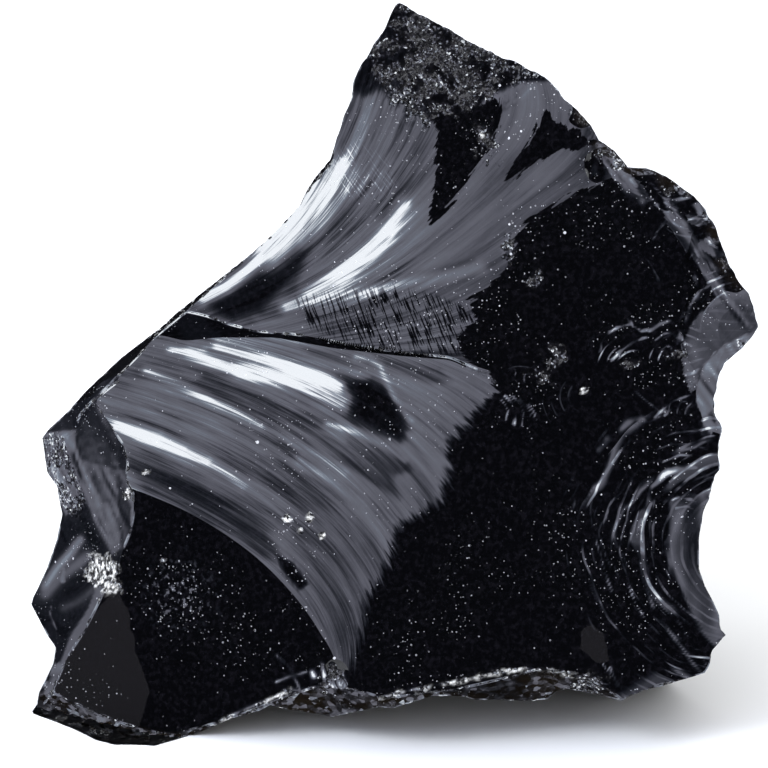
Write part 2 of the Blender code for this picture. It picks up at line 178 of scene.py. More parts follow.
UPPER_FLOW = flow([
    (0, "190,305 220,275 252,253 275,232 300,205 318,173 337,136 350,96"),
    (1, "200,305 240,280 280,250 315,215 345,175 365,130 380,90"),
    (2, "205,310 250,298 300,265 345,220 380,180 410,140 425,110"),
    (3, "215,315 270,308 320,285 360,252 400,220 432,185 455,140 470,100"),
    (4, "230,320 300,315 350,285 400,252 450,215 480,180 505,130 530,85"),
    (5, "280,325 340,315 400,282 460,250 510,210 550,175 600,145"),
    (6, "330,335 400,315 470,288 530,258 590,225 640,200"),
    (7, "400,350 470,330 540,310 620,290 690,270")])
LEDGE_TOP = draft("""
120,309 181,310 208,316 225,323 256,331 294,334 313,337 351,345 409,353 450,357 545,400 600,425 800,470
""")
LEDGE_FOOT = draft("""
120,336 160,335 185,341 217,337.5 275,337.5 332,348 400,356 450,360 545,404 600,430 800,475
""")
LOWER_EDGE = (24.2, -2.4), (-2.1, -38.4)  # a line along which the lower face begins to fall away
UPPER_EDGE = (33.9, 36.6), (17.4, 5.1)  # and the same for the upper face
LOWER_FLOW = flow([
    (0, "133,493 183,514 221,539 269,574 308,611 324,664"),
    (1, "130,465 180,485 230,510 280,545 325,590 348,650"),
    (2, "118,430 160,440 200,465 250,495 300,530 345,575 368,630"),
    (3, "125,400 180,415 240,445 300,480 350,525 385,585"),
    (4, "140,375 200,395 260,420 320,455 370,500 405,550"),
    (5, "150,355 210,370 270,395 330,425 385,465 425,520"),
    (6, "165,340 230,355 300,378 360,410 410,445 450,500"),
    (7, "250,340 320,360 380,390 430,420 475,470"),
    (8, "350,348 410,370 460,400 510,450")])


def ridge(x, line, down=False):
    """Follow a ridge line, its corners a little rounded."""
    xs, ys = (-line[:, 1], line[:, 0]) if down else (line[:, 0], line[:, 1])
    return np.mean([np.interp(x + d, xs, ys) for d in (-.9, -.45, 0, .45, .9)], axis=0)


def lower_plain(a, b):
    """The wide lower face without its streaks: flat to the right, leaning away to the upper left."""
    w = beyond(a, b, *LOWER_EDGE)
    return w, .4 + profile(w, LOWER_FALL) + .0013 * np.maximum(-w - 10, 0) ** 2


def lower_face(a, b):
    """Ribs and streaks that follow the numbered streak lines, laid on the plain face."""
    w, depth = lower_plain(a, b)
    q, s = (terms(a, b) @ fit for fit in LOWER_FLOW)
    q = np.clip(q, -1, 10)
    ribs = (profile(q, LOWER_RIBS) - profile(np.zeros(1), LOWER_RIBS)) * LOWER_WIDTH
    streak = rough(q * 1.9, s / 30, 11) * .10 + rough(q * 7, s / 24, 15, 2) * .014
    dent = .42 * np.exp(-((a + 1.6 + .4 * (b + 3.2)) / 4.6) ** 2 - ((b + 3.2) / 4.4) ** 2)
    return depth + ribs * (.25 + .75 * step(w, 8, 32)) * step(w, -8, 4) + streak * step(w, -8, 12) + dent


LOWER_FALL = [(-60, 0), (-14, 0), (-8, .05), (-2, .17), (8, .19), (23, .19), (29, .29), (40, .34), (90, .34)]
LOWER_RIBS = [(-3, 0), (-.1, 0), (.3, .14), (1.4, .14), (1.8, -.02), (2.4, .0), (2.75, .17), (3.7, .18),
              (4.05, -.02), (4.2, -.02), (4.5, .16), (5.1, .10), (5.5, -.01), (6.7, -.03), (7.2, .10),
              (8, .12), (12, .12)]
UPPER_RIBS = [(-3, .1), (-.3, .08), (.2, .0), (1.05, .02), (1.4, .16), (1.8, .26), (2.5, .26), (3.0, .07),
              (3.35, -.04), (4.0, -.06), (4.25, .04), (4.5, .07), (4.65, -.02), (4.8, .05), (5.3, .04),
              (5.8, .06), (6.5, .08), (7.5, .10), (12, .10)]
UPPER_HOLLOW = [(0, -.3), (34, 0), (44, .12), (56, .16), (66, .10), (76, -.05), (110, -.05)]


def upper_face(a, b):
    """The upper face: a hollow fan of ribs that spread from the left-hand hinge."""
    u = beyond(a, b, *UPPER_EDGE)
    depth = 1.6 + 1.6 * step(a, 34, 16) + .40 * bend(u, -14, 26) + .0035 * np.maximum(-u - 10, 0) ** 2
    q, s = (terms(a, b) @ fit for fit in UPPER_FLOW)
    q = np.clip(q, -1, 9)
    far = np.hypot(a - HINGE[0], b - HINGE[1])
    depth = depth + profile(far, UPPER_HOLLOW) + 5.1
    ribs = (profile(q, UPPER_RIBS) - profile(np.full(1, 4.6), UPPER_RIBS)) * FAN_WIDTH * far
    streak = rough(q * 2.2, s / 30, 21) * .0022 * far
    depth = depth + (ribs + streak) * step(u, -6, 4)
    shoulder = step(b - ridge(a, LEDGE_TOP), 22, 2) * step(a, 8, 24)
    return depth - (depth - lower_plain(a, b)[1] - .5) * shoulder


SCAR_HEART = (54.2, -25.7)
SCAR_FALL = [(-90, 0), (0, 0), (.5, .22), (1.3, .05), (7.6, .05), (8.1, .6), (9.6, .14), (12, .12),
             (13.2, .3), (40, .3)]
SCOOP_HEART = (53.7, 8.1)
SCOOP_FALL = [(-90, 1.4), (0, 1.4), (.7, .9), (1.5, -.05), (2.3, -.28), (7.4, -.33), (9.3, 0), (12, 0)]
NOTCH_HEART = (52.8, -1.8)
SCAR_REACH = 22.4
SCOOP_REACH = 9.3
HORN_REACH = 5.5


def scar_reach(a, b):
    """Distance from the blow on the right edge; the rings reach further to the upper left."""
    x, y = a - SCAR_HEART[0], b - SCAR_HEART[1]
    away = np.hypot(x, y)
    return away * (1 - .14 * (y - x) / np.maximum(away, 1) * .7) + .45 * noise(a / 5, b / 5, 31)


def right_scar(a, b, face):
    """Shell-shaped scar struck from the right edge, in two tiers, with rings round the blow."""
    inward = SCAR_REACH - scar_reach(a, b)
    rings = .14 * np.cos(2 * math.pi * inward / 2.0) * step(inward, 1, 5) * step(inward, 19, 15)
    return face + profile(inward, SCAR_FALL) - .2 * np.maximum(-inward, 0) + rings


def scoop(a, b, face):
    """Smooth hollow under the right-hand corner, which is left standing as a horn."""
    inward = SCOOP_REACH - np.hypot(a - SCOOP_HEART[0], b - SCOOP_HEART[1])
    return face + profile(inward, SCOOP_FALL) - profile(np.zeros(1), SCOOP_FALL)


def notch(a, b, face):
    """Small bite in the right edge below the horn."""
    return face + .6 * (6.0 - np.hypot(a - NOTCH_HEART[0], (b - NOTCH_HEART[1]) / 1.25))


LOWER, UPPER, LEDGE, CORNER, FLANK, STRIP, FOOT, SCAR, SCOOP, MERGED, NOTCH = range(11)
SPALLS = [((46, 30), 5.0, 2.2), ((38, 35), 4.2, 1.6), ((50.5, 19), 5.2, 2.4), ((31, 42), 3.4, 1.2),
          ((33, 33.2), 2.6, .8), ((-48, -22), 5.0, 1.6), ((-7.8, -44.2), 2.4, .8)]


def base_depth(b):
    """Depth at which a line of sight from the front meets the ground."""
    lift = math.cos(LEAN)
    return (CENTRE_HEIGHT + b * lift) / (math.sin(LEAN) - b * lift / REACH)


def fractures(a, b):
    """Depth of every front fracture, in the order of their names; the deepest one shows."""
    lower, upper = lower_face(a, b), upper_face(a, b)
    cap = np.maximum(1 - np.hypot((a - 5.5) / 9, (b - 49) / 10.5),
                     1 - np.hypot((a - 14.5) / 9, (b - 46) / 5.5))
    cap = step(cap + .12 * noise(a / 2, b / 2, 40), 0, .12)
    upper = upper + .22 * rough(a / 2.2, b / 2.2, 41, 4) * cap
    top, foot = ridge(a, LEDGE_TOP), ridge(a, LEDGE_FOOT)
    high, low = upper_face(a, top), lower_face(a, foot)
    ledge = low + np.maximum(high - low, .4) * (b - foot) / (top - foot)
    upper_cut = np.minimum(upper, ledge)
    lower = lower - 1.5 * np.maximum(b - foot - .3, 0) * step(a, 34, 14)
    soft = 3.0 * step(a, 12, 30)
    merged = (lower + upper_cut + np.sqrt((lower - upper_cut) ** 2 + soft**2) - soft * .6) / 2
    plain = lower_plain(a, b)[1]
    corner = plain + .30 * (49.6 - np.hypot((a + 53.5) / 1.04, b + 62.9))
    face = np.maximum(merged, corner)
    cuts = [lower, upper, ledge, corner,
            face + 1.1 * (ridge(-b, FLANK_RIDGE, down=True) - a),
            face + 1.6 * (ridge(-b, STRIP_RIDGE, down=True) - a) * step(b, -12, -4)
            - 9 * step(b, -4, -12) - 40 * step(b, 36, 40),
            face + 1.5 * (ridge(a, FOOT_RIDGE) - b),
            right_scar(a, b, face), scoop(a, b, face), merged,
            notch(a, b, face)]
    for at, size, deep in SPALLS:
        r = np.hypot(a - at[0], b - at[1]) / size
        r = r * (1 + .3 * noise(a / 3 + size, b / 3, 51))
        cuts.append(face + deep * (1 - r * r))
    return np.stack([np.broadcast_to(c, np.shape(a)) for c in cuts])


def front(a, b):
    """The same depths, with the two wide faces and the ledge each kept to its own ground."""
    cuts = fractures(a, b)
    top, foot = ridge(a, LEDGE_TOP), ridge(a, LEDGE_FOOT)
    left = a < 12.3
    for number, ground in ((LOWER, left & (b <= foot)), (UPPER, left & (b > top)),
                           (LEDGE, left & (b > foot) & (b <= top)), (MERGED, ~left)):
        cuts[number] = np.where(ground, cuts[number], -90)
    return cuts


BACK_SHELLS = [((33, 20), 36, 5.0), ((-34, -34), 33, 4.2), ((20, -44), 20, 2.6)]


def back(a, b):
    """Depth of every back break; the shallowest one shows."""
    broad = 51.5 + .06 * a - .10 * b + .25 * rough(a / 9, b / 9, 61)
    cuts = [broad,
            15.0 + 1.7 * (57 - a) + .15 * b,
            32.0 + 1.0 * (a + 53) - .12 * b,
            26.0 + 1.05 * (a * .75 - b * .66 + 29.5) + .4 * rough(a / 12, b / 12, 62),
            20.0 + 1.5 * (58 - b),
            13.0 + 1.2 * ((33 - a) * .57 + (38 - b) * .82 + 3)]
    for at, size, deep in BACK_SHELLS:
        r = np.hypot(a - at[0], b - at[1]) / size
        bowl = deep * 4 * r * (1 - r) + .22 * step(r, .3, .7) * np.cos(r * size * 1.9)
        cuts.append(np.where(r < 1, broad - np.maximum(bowl, 0), 999))
    return np.stack(cuts)


def rim_reach(turn):
    """Distance from the heart to the outline in each direction, chipped a little."""
    rim = OUTLINE - HEART
    angle = np.unwrap(np.arctan2(rim[:, 1], rim[:, 0]))[::-1]
    x, y = rim[::-1, 0], rim[::-1, 1]
    angle, x, y = np.r_[angle, angle[0] + 2 * math.pi], np.r_[x, x[0]], np.r_[y, y[0]]
    turn = (turn - angle[0]) % (2 * math.pi) + angle[0]
    i = np.clip(np.searchsorted(angle, turn) - 1, 0, len(angle) - 2)
    dx, dy = x[i + 1] - x[i], y[i + 1] - y[i]
    return (x[i] * dy - y[i] * dx) / (np.cos(turn) * dy - np.sin(turn) * dx)


def chips(turn):
    """Small bites along the edge, deepest on the crumbly upper right."""
    way = turn * 60
    wild = .25 + .9 * step(np.cos(turn - 1.45), .86, .97) + .5 * step(np.cos(turn - .25), .8, 1)
    return wild * (.16 * rough(way / 1.4, way * 0, 71) - .06)


def soft_reach(turn):
    """The same distance with the notches smoothed away."""
    return np.mean([rim_reach(turn + d) for d in np.linspace(-.16, .16, 9)], axis=0)


def sheet_place(turn, share):
    """The place a share of the way from the heart to the rim; the chips fade out inwards."""
    full, soft = rim_reach(turn) + chips(turn), soft_reach(turn)
    reach = share * (soft + (full - soft) * share**6)
    return HEART[0] + reach * np.cos(turn), HEART[1] + reach * np.sin(turn)


def disc(cells):
    """A square grid swept onto a disc: ring by ring, each square ring becomes a round one."""
    line = np.linspace(-1, 1, cells + 1)
    u, v = np.meshgrid(line, line, indexing="ij")
    share = np.maximum(np.abs(u), np.abs(v))
    wide = np.abs(u) >= np.abs(v)
    turn = np.where(wide, math.pi / 4 * v / np.where(u == 0, 1, u),
                    math.pi / 2 - math.pi / 4 * u / np.where(v == 0, 1, v))
    return turn + np.where(np.where(wide, u, v) < 0, math.pi, 0), share


def on_ridges(a, b, which, rim):
    """Slide grid points along their grid lines onto the ridges between two fractures."""
    ids = which(a, b)
    best = np.full(a.shape, 9.0)
    new_a, new_b = a.copy(), b.copy()
    for di, dj in ((1, 0), (-1, 0), (0, 1), (0, -1)):
        here = tuple(slice(max(0, -d), n - max(0, d)) for d, n in zip((di, dj), a.shape))
        there = tuple(slice(max(0, d), n - max(0, -d)) for d, n in zip((di, dj), a.shape))
        cross = np.nonzero((ids[here] != ids[there]) & ~rim[here])
        a0, b0, a1, b1 = a[here][cross], b[here][cross], a[there][cross], b[there][cross]
        mine = ids[here][cross]
        low, high = np.zeros(len(a0)), np.ones(len(a0))
        for _ in range(9):
            t = (low + high) / 2
            same = which(a0 + (a1 - a0) * t, b0 + (b1 - b0) * t) == mine
            low, high = np.where(same, t, low), np.where(same, high, t)
        view_best = best[here]
        near = (low < .5) & (low < view_best[cross])
        pick = tuple(c[near] for c in cross)
        view_best[pick] = low[near]
        new_a[here][pick] = (a0 + (a1 - a0) * low)[near]
        new_b[here][pick] = (b0 + (b1 - b0) * low)[near]
    return new_a, new_b, best < 1


def to_stone(a, b, c):
    """Sheet place and depth to millimetres, z up from the ground."""
    k = 1 + c / REACH
    return np.stack([a * k, b * k * math.sin(LEAN) + c * math.cos(LEAN),
                     CENTRE_HEIGHT + b * k * math.cos(LEAN) - c * math.sin(LEAN)], -1)


# The front: a square grid swept onto the outline, its points slid onto the ridges.
CELLS = 272
turn, share = disc(CELLS)
a, b = sheet_place(turn, share)
rim = share > 1 - 1e-9
a, b, moved = on_ridges(a, b, lambda x, y: front(x, y).argmax(0), rim)
depth = np.minimum(front(a, b).max(0), base_depth(b))
front_place = to_stone(a, b, depth)
nudge = .02
stack = fractures(a, b)
slope_a = (fractures(a + nudge, b) - stack) / nudge
slope_b = (fractures(a, b + nudge) - stack) / nudge

# The back: half as many squares a side, its rings crowded towards the rim and the last just inside it.
LAST_RING = .994
back_turn, back_share = disc(CELLS // 2)
back_share = 1 - (1 - back_share) ** 1.35
back_rim = back_share > 1 - 1e-9
back_share = np.where(back_rim, LAST_RING, back_share)


def back_which(a, b, values=False):
    """Back fractures, the wall that drops from the rim, and the ground."""
    turn = np.arctan2(b - HEART[1], a - HEART[0])
    rim_a, rim_b = sheet_place(turn, np.ones_like(turn))
    top = np.minimum(front(rim_a, rim_b).max(0), base_depth(rim_b))
    full, soft = rim_reach(turn), soft_reach(turn)
    away = np.hypot(a - HEART[0], b - HEART[1])
    inward = np.maximum(soft - away * soft / full, 0)
    below = step(-np.sin(turn), .25, .9) ** 2
    wall = top + inward * (3.4 + 30 * below)
    cuts = np.concatenate([back(a, b), wall[None]])
    lip = top + .7 * inward - .07 * inward**2
    cuts = np.maximum(cuts, lip)
    cuts = np.concatenate([cuts, np.broadcast_to(base_depth(b), a.shape)[None]])
    return cuts.min(0) if values else cuts.argmin(0)


back_a, back_b = sheet_place(back_turn, back_share)
back_a, back_b, _ = on_ridges(back_a, back_b, back_which, back_rim)
back_place = to_stone(back_a, back_b, back_which(back_a, back_b, values=True))


def loop(cells):
    """Point numbers round the border of a square grid, anticlockwise from the lower left."""
    run, row = np.arange(cells), cells + 1
    return np.concatenate([run * row, cells * row + run, (cells - run) * row + cells, cells - run])


def triangles(cells, marked):
    """Two triangles a cell, the shared side running along the ridge where there is one."""
    i, j = np.meshgrid(np.arange(cells), np.arange(cells), indexing="ij")
    p = (i * (cells + 1) + j).ravel()
    q, r, s = p + cells + 1, p + cells + 2, p + 1
    m = marked.ravel().astype(int)
    slant = (m[p] + m[r] >= m[q] + m[s])[:, None]
    one = np.where(slant, np.stack([p, q, r], 1), np.stack([p, q, s], 1))
    two = np.where(slant, np.stack([p, r, s], 1), np.stack([q, r, s], 1))
    return np.concatenate([one, two])


def glossy_normal(a, b, c, slope_a, slope_b):
    """Cross product of the two sheet directions carried onto the stone."""
    k = 1 + c / REACH
    right = np.stack([k + a * slope_a / REACH, b * slope_a / REACH, slope_a], -1)
    up = np.stack([a * slope_b / REACH, k + b * slope_b / REACH, slope_b], -1)
    out = np.cross(up, right)
    axes = np.array([[1, 0, 0], [0, math.sin(LEAN), math.cos(LEAN)],
                     [0, math.cos(LEAN), -math.sin(LEAN)]])
    out = out @ axes
    return out / np.linalg.norm(out, axis=-1, keepdims=True)


def inside(a, b, outline, closed=True):
    """How far each place is inside the outline, negative outside; for a line only the size counts."""
    nearest, crossings = np.full(a.shape, 1e9), np.zeros(a.shape, int)
    nexts = np.roll(outline, -1, axis=0) if closed else outline[1:]
    for (x0, y0), (x1, y1) in zip(outline, nexts):
        dx, dy = x1 - x0, y1 - y0
        t = np.clip(((a - x0) * dx + (b - y0) * dy) / (dx * dx + dy * dy), 0, 1)
        nearest = np.minimum(nearest, np.hypot(a - x0 - t * dx, b - y0 - t * dy))
        if dy:
            crossings += ((b > min(y0, y1)) & (b <= max(y0, y1)) & (a < x0 + (b - y0) / dy * dx))
    return np.where(crossings % 2 == 1, nearest, -nearest)


FLANK_SCAR = draft("78,402 93,400 106,416 118,436 126,458 127,480 112,500 98,498 88,470 76,440")
BEAK = draft("66,520 90,535 92,560 88,600 80,625 62,645 45,630 28,604 44,566 56,538")
UNDER_BEAK = draft("80,622 62,645 58,655 40,640 46,690 62,700 90,640")
RIM_STRIP = draft("""
62,645 88,592 98,590 85,625 70,650 54,695 42,706 32,712 34,698 46,684 54,664 56,648 44,628 48,618 60,636
""")
BEAK_SHINE = "38,598 52,576 66,558 78,560"
front_faces = triangles(CELLS, moved)
middle_a, middle_b = a.ravel()[front_faces].mean(1), b.ravel()[front_faces].mean(1)
middle_stack = front(middle_a, middle_b)
owner = middle_stack.argmax(0)
grounded = middle_stack.max(0) > base_depth(middle_b)
corner = front_faces.ravel()
which = np.repeat(owner, 3)
corner_a, corner_b, corner_depth = (values.ravel()[corner] for values in (a, b, depth))
normal = glossy_normal(corner_a, corner_b, corner_depth,
                       slope_a.reshape(len(stack), -1)[which, corner],
                       slope_b.reshape(len(stack), -1)[which, corner])


def glow(a, b, line, wide):
    """Bell curve across a line: 1 on it, and down to 0.37 at the given distance from it."""
    return np.exp(-(inside(a, b, draft(line), closed=False) / wide) ** 2)


def flank_sheen(a, b):
    """Slopes of the broken left flank: a flat scar, a brushed channel, and the fan of the beak."""
    away = .21 + .17 * rough(a * 1.15 + b * .28, b * .07, 91, 3)
    away = np.where(inside(a, b, FLANK_SCAR) > 0, .235, away)
    beak = inside(a, b, BEAK) > 0
    fan = np.arctan2(b + 31, a + 58)
    shine = glow(a, b, BEAK_SHINE, 1.5)
    away = np.where(beak, .33 - .22 * shine + .07 * rough(fan * 9, b * 0, 95, 3), away)
    away = np.where(inside(a, b, UNDER_BEAK) > 0, .3, away)
    away = np.where(inside(a, b, RIM_STRIP) > 0, .19 + .09 * rough(a / 2, b / 2, 96), away)
    return -.33 + .35 * away, .21 - .94 * away


on_flank = which == FLANK
sheen_a, sheen_b = flank_sheen(corner_a[on_flank], corner_b[on_flank])
normal[on_flank] = glossy_normal(corner_a[on_flank], corner_b[on_flank], corner_depth[on_flank],
                                 sheen_a, sheen_b)
normal[np.repeat(grounded, 3)] = (0, 0, -1)

# The back grid is turned inside out, and a band joins it to every second point of the rim.
front_count = front_place.reshape(-1, 3).shape[0]
half = CELLS // 2
back_faces = triangles(half, np.zeros((half + 1, half + 1)))[:, ::-1] + front_count
front_loop, back_loop = loop(CELLS), loop(half) + front_count
even, odd, next_even = front_loop[0::2], front_loop[1::2], np.roll(front_loop[0::2], -1)
behind, next_behind = back_loop, np.roll(back_loop, -1)
band = np.concatenate([np.stack(three, 1) for three in (
    (even, behind, odd), (odd, behind, next_behind), (odd, next_behind, next_even))])
places = np.concatenate([front_place.reshape(-1, 3), back_place.reshape(-1, 3)])
places[:, 2] = np.maximum(places[:, 2], 0)
faces = np.concatenate([front_faces, back_faces, band])

low, high = places.min(0), places.max(0)
middle = np.array([-(low[0] + high[0]) / 2, -(low[1] + high[1]) / 2, 0])
middle[:2] += [500 * (cad_box[0][k] + cad_box[1][k]) for k in (0, 1)]
stone_mesh = bpy.data.meshes.new("obsidian_stone")
stone_mesh.from_pydata(((places + middle) / 1000).tolist(), [], faces.tolist())
stone_mesh.shade_smooth()
stone_mesh.set_sharp_from_angle(angle=math.radians(26))
shading = np.zeros(len(stone_mesh.loops) * 3)
stone_mesh.corner_normals.foreach_get("vector", shading)
shading = shading.reshape(-1, 3)
shading[:len(normal)] = normal
stone_mesh.normals_split_custom_set(shading.tolist())


def keep(name, domain, channels, rest=(0, 0, 0)):
    """Store three numbers at each corner or point of the front, and the rest values behind it."""
    count = len(faces) * 3 if domain == "CORNER" else len(places)
    kept = np.tile(np.array(rest, float), (count, 1))
    for k, channel in enumerate(channels):
        kept[:channel.size, k] = channel.ravel()
    layer = stone_mesh.attributes.new(name, "FLOAT_VECTOR", domain)
    layer.data.foreach_set("vector", kept.ravel())


# Streak number, run along the streak and width of a number in millimetres.
APART = 20  # keeps the noise of the two faces unlike
powers = terms(corner_a, corner_b)
upper_q, upper_s = (powers @ fit for fit in UPPER_FLOW)
lower_q, lower_s = (powers @ fit for fit in LOWER_FLOW)
ledge_line = ridge(corner_a, LEDGE_FOOT)
beyond_edge = beyond(corner_a, corner_b, *LOWER_EDGE)
on_upper = (which == UPPER) | ((which == MERGED) & (corner_b > ledge_line))
on_lower = (which == LOWER) | ((which == MERGED) & (corner_b <= ledge_line))
on_lower &= (beyond_edge > -14) & (corner_b < 12)
hinge_away = np.hypot(corner_a - HINGE[0], corner_b - HINGE[1])
keep("streak", "CORNER",
     (np.where(on_upper, upper_q, np.where(on_lower, lower_q + APART, 0)),
      np.where(on_upper, upper_s, np.where(on_lower, lower_s, 0)),
      np.where(on_upper, FAN_WIDTH * hinge_away, np.where(on_lower, LOWER_WIDTH, 0))))

# Ground that mirrors nothing, a dim grey reflection painted into the colour on the foot of the left corner
# and on a spot lower right, and the distance to the nearest edge.
DARK_PLAIN = draft("""
600,183 560,202 530,216 516,240 509,262 488,286 470,301 476,320 458,340 462,356 488,372 500,392 470,425
455,442 452,475 450,500 420,520 402,532 396,560 380,585 370,602 366,640 356,662 340,700 600,700 760,600
760,330 700,200 615,150
""")
DARK_SCAR = draft("435,112 462,108 500,98 496,125 490,150 472,172 455,195 447,212 430,230 432,200 436,160")
DARK_WEDGE = draft("505,182 524,150 545,112 556,120 575,130 590,140 597,142 575,148 560,150 535,163")
# Painted reflection: outlines where a dim grey reflection is painted into the colour.
CORNER_REFLECTION = draft("115,590 128,608 135,650 150,690 140,728 100,716 52,694 70,650 95,612")
SPOT_REFLECTION = draft("580,630 592,622 606,634 612,664 596,664 578,650")
on_face = np.isin(which, (LOWER, UPPER, MERGED))
dark = np.maximum.reduce([inside(a, b, outline) for outline in (DARK_PLAIN, DARK_SCAR, DARK_WEDGE)])
# Painted reflection mask: positive inside the corner and the spot lower right.
painted_reflection = np.maximum(inside(a, b, CORNER_REFLECTION), inside(a, b, SPOT_REFLECTION) - .3)
ledge_run = np.linspace(-31, 14, 40)
edges = [np.stack([ledge_run, ridge(ledge_run, LEDGE_TOP)], 1),
         FOOT_RIDGE, FLANK_RIDGE, STRIP_RIDGE[:-1], np.r_[OUTLINE, OUTLINE[:1]]]
edge = np.minimum.reduce([np.abs(inside(a, b, line, closed=False)) for line in edges])
horn_away = np.hypot(a - SCOOP_HEART[0], b - SCOOP_HEART[1])
near_horn = horn_away < HORN_REACH

# What the broad faces mirror: a ground level, darker patches on it and streaks of light.
BRIGHT = [  # which face, line, half width in millimetres, level
    (UPPER, "203,298 225,287 245,272 262,257 276,244", .95, 1.0),
    (UPPER, "268,251 280,240 297,220 312,201 322,188", 2.4, 1.0),
    (UPPER, "312,201 326,183 338,166", 1.7, .88), (UPPER, "300,238 320,215 340,190 352,172", 1.5, .66),
    (UPPER, "345,172 356,150 366,128 376,112", 2.6, .52),
    (UPPER, "365,190 375,160 390,130 400,112", 3.6, .5),
    (UPPER, "310,295 335,280 352,267 366,253 380,238 394,220 404,206", 1.2, .86),
    (UPPER, "338,278 356,263 372,248 384,235", 1.5, .95),
    (UPPER, "286,307 308,300 330,297 352,293 378,290", .9, .84),
    (UPPER, "380,290 410,283 445,276 480,268", .9, .64),
    (LOWER, "218,345 250,353 287,366 318,377 338,386", .95, .93),
    (LOWER, "190,352 215,362 240,371 268,376", .95, .88),
    (LOWER, "240,371 268,376 300,382 325,391 344,401", 1.3, .97),
    (LOWER, "290,374 312,381 330,388", 1.3, .95), (LOWER, "170,350 190,352 205,350", .5, .8),
    (LOWER, "146,371 175,383 202,396 230,409 262,427", .6, .8),
    (LOWER, "262,427 290,440 320,457 345,474", .6, .62), (LOWER, "116,428 140,435 158,440", 1.0, .93),
    (LOWER, "140,435 165,442 184,449", .9, .86), (LOWER, "165,442 186,450 208,461", .85, .78),
    (LOWER, "186,450 208,461 228,475 244,487", .8, .68),
    (LOWER, "228,475 250,491 275,512 290,530", .8, .56), (FLANK, "46,586 56,570 68,556 80,540", .7, .70),
    (FLANK, "46,594 60,578 76,566 88,556", 1.0, .47), (FLANK, "64,608 78,602 92,590", .8, .4),
    (FLANK, "44,440 52,468 60,488 76,506", .35, .62), (FLANK, "72,440 80,464 96,500 112,544", .3, .6),
    (LOWER, "356,357 370,358 380,366 386,380 396,400 412,420", .5, .66),
    (LOWER, "328,424 358,433 385,446 405,460", .5, .63),
    (LOWER, "300,460 335,482 362,505 380,532 392,562", .8, .62)]
DIM = [  # which face, outline, softness in millimetres, level
    (FLANK, "38,434 76,430 72,455 84,492 66,516 44,474", .4, .53),
    (FLANK, "76,430 95,402 107,418 118,440 120,470 83,462", .3, .32),
    (FLANK, "82,460 118,470 118,500 122,548 112,556 96,524 80,490", .4, .46),
    (FLANK, "116,468 136,472 134,562 122,558 120,500", .3, .35),
    (FLANK, "104,566 112,590 92,625 68,672 58,668 70,636 88,608", .3, .5),
    (UPPER, "335,150 345,112 362,78 440,110 420,150 370,170", 2.0, .4),
    (UPPER, "180,316 300,205 345,172 358,200 338,240 312,268 300,300 330,322 250,326", 2.2, .30),
    (LOWER, "90,330 250,340 345,376 352,410 345,470 330,520 300,520 240,470 120,425 90,400", 4.0, .46),
    (LOWER, "90,338 170,350 200,372 180,400 130,400 90,380", 2.0, .37),
    (LOWER, "200,470 300,450 330,500 300,540 240,520", 3.0, .41),
    (LOWER, "212,392 262,408 330,436 390,470 400,500 352,470 300,445 240,420", .9, .36),
    (LOWER, "190,405 240,425 300,452 350,486 380,520 340,500 290,468 230,440", .6, .37),
    (LOWER, "240,480 340,520 420,560 370,660 330,650 290,580", 4.0, .45),
    (UPPER, "186,309 214,283 252,253 286,224 290,232 262,252 235,274 205,294", .5, .1),
    (UPPER, "205,303 232,292 262,268 285,253 302,236 318,222 330,225 322,246 298,268 275,292 262,312 "
            "232,322", 1.2, .1),
    (UPPER, "318,222 345,190 370,180 400,170 412,180 395,212 372,238 345,258 322,270 300,285 "
            "305,262", 1.6, .46),
    (UPPER, "345,60 372,30 385,50 372,90 362,120 352,150 338,150 345,112", 1.6, .36),
    (UPPER, "345,303 380,296 420,284 470,266 475,259 430,268 385,278 350,290", .7, .38),
    (UPPER, "352,90 366,52 385,20 398,0 440,14 545,68 548,80 520,82 500,90 466,110 430,120 410,112 "
            "396,99 380,90 366,98", .6, .05),
    (UPPER, "255,318 300,318 350,326 400,334 440,336 470,330 470,345 400,352 330,346 260,336", 1.2, .44),
    (LOWER, "205,372 245,392 292,408 335,420 338,428 312,430 268,418 222,402 190,384", .8, .32),
    (LOWER, "150,380 185,396 230,420 280,445 320,470 300,476 250,450 200,430 150,410 120,400", 1.5, .44),
    (LOWER, "122,446 160,456 200,474 238,500 268,530 285,562 262,556 225,528 185,508 146,492 "
            "128,470", 1.2, .3),
    (LOWER, "346,432 375,440 405,458 412,470 395,476 370,468 345,452", .8, .36),
    (LOWER, "300,345 345,352 400,360 440,368 452,382 430,384 400,376 350,368 310,355", .8, .38),
    (LOWER, "276,556 292,562 308,584 300,590 284,572", .4, .12),
    (LOWER, "338,378 352,382 372,378 390,388 402,406 408,430 400,442 378,434 352,420 340,408 "
            "346,392", 1.5, .12)]
COMB = draft("296,300 340,292 400,288 440,300 480,312 482,340 455,352 400,348 350,340 310,325")
HATCH = draft("335,152 360,140 392,160 398,196 372,200 345,196 330,175")


def within(a, b, outline, soft):
    """1 inside the outline, 0 outside, softened over the given distance on both sides."""
    return step(inside(a, b, draft(outline)), -soft, soft)


def sheen(a, b, face, level):
    """How squarely a broad face mirrors the soft box: 0 black, .5 grey, 1 white."""
    level = np.full(a.shape, level)
    for number, outline, soft, shade in DIM:
        if number == face:
            level = level + (shade - level) * within(a, b, outline, soft)
    for number, line, wide, shade in BRIGHT:
        if number == face:
            level = np.maximum(level, level + (shade - level) * glow(a, b, line, wide))
    return level


def bands(x, knots):
    """Levels that pass through the knots (place, level)."""
    places, values = np.array(knots).T
    return np.interp(x, places, values)


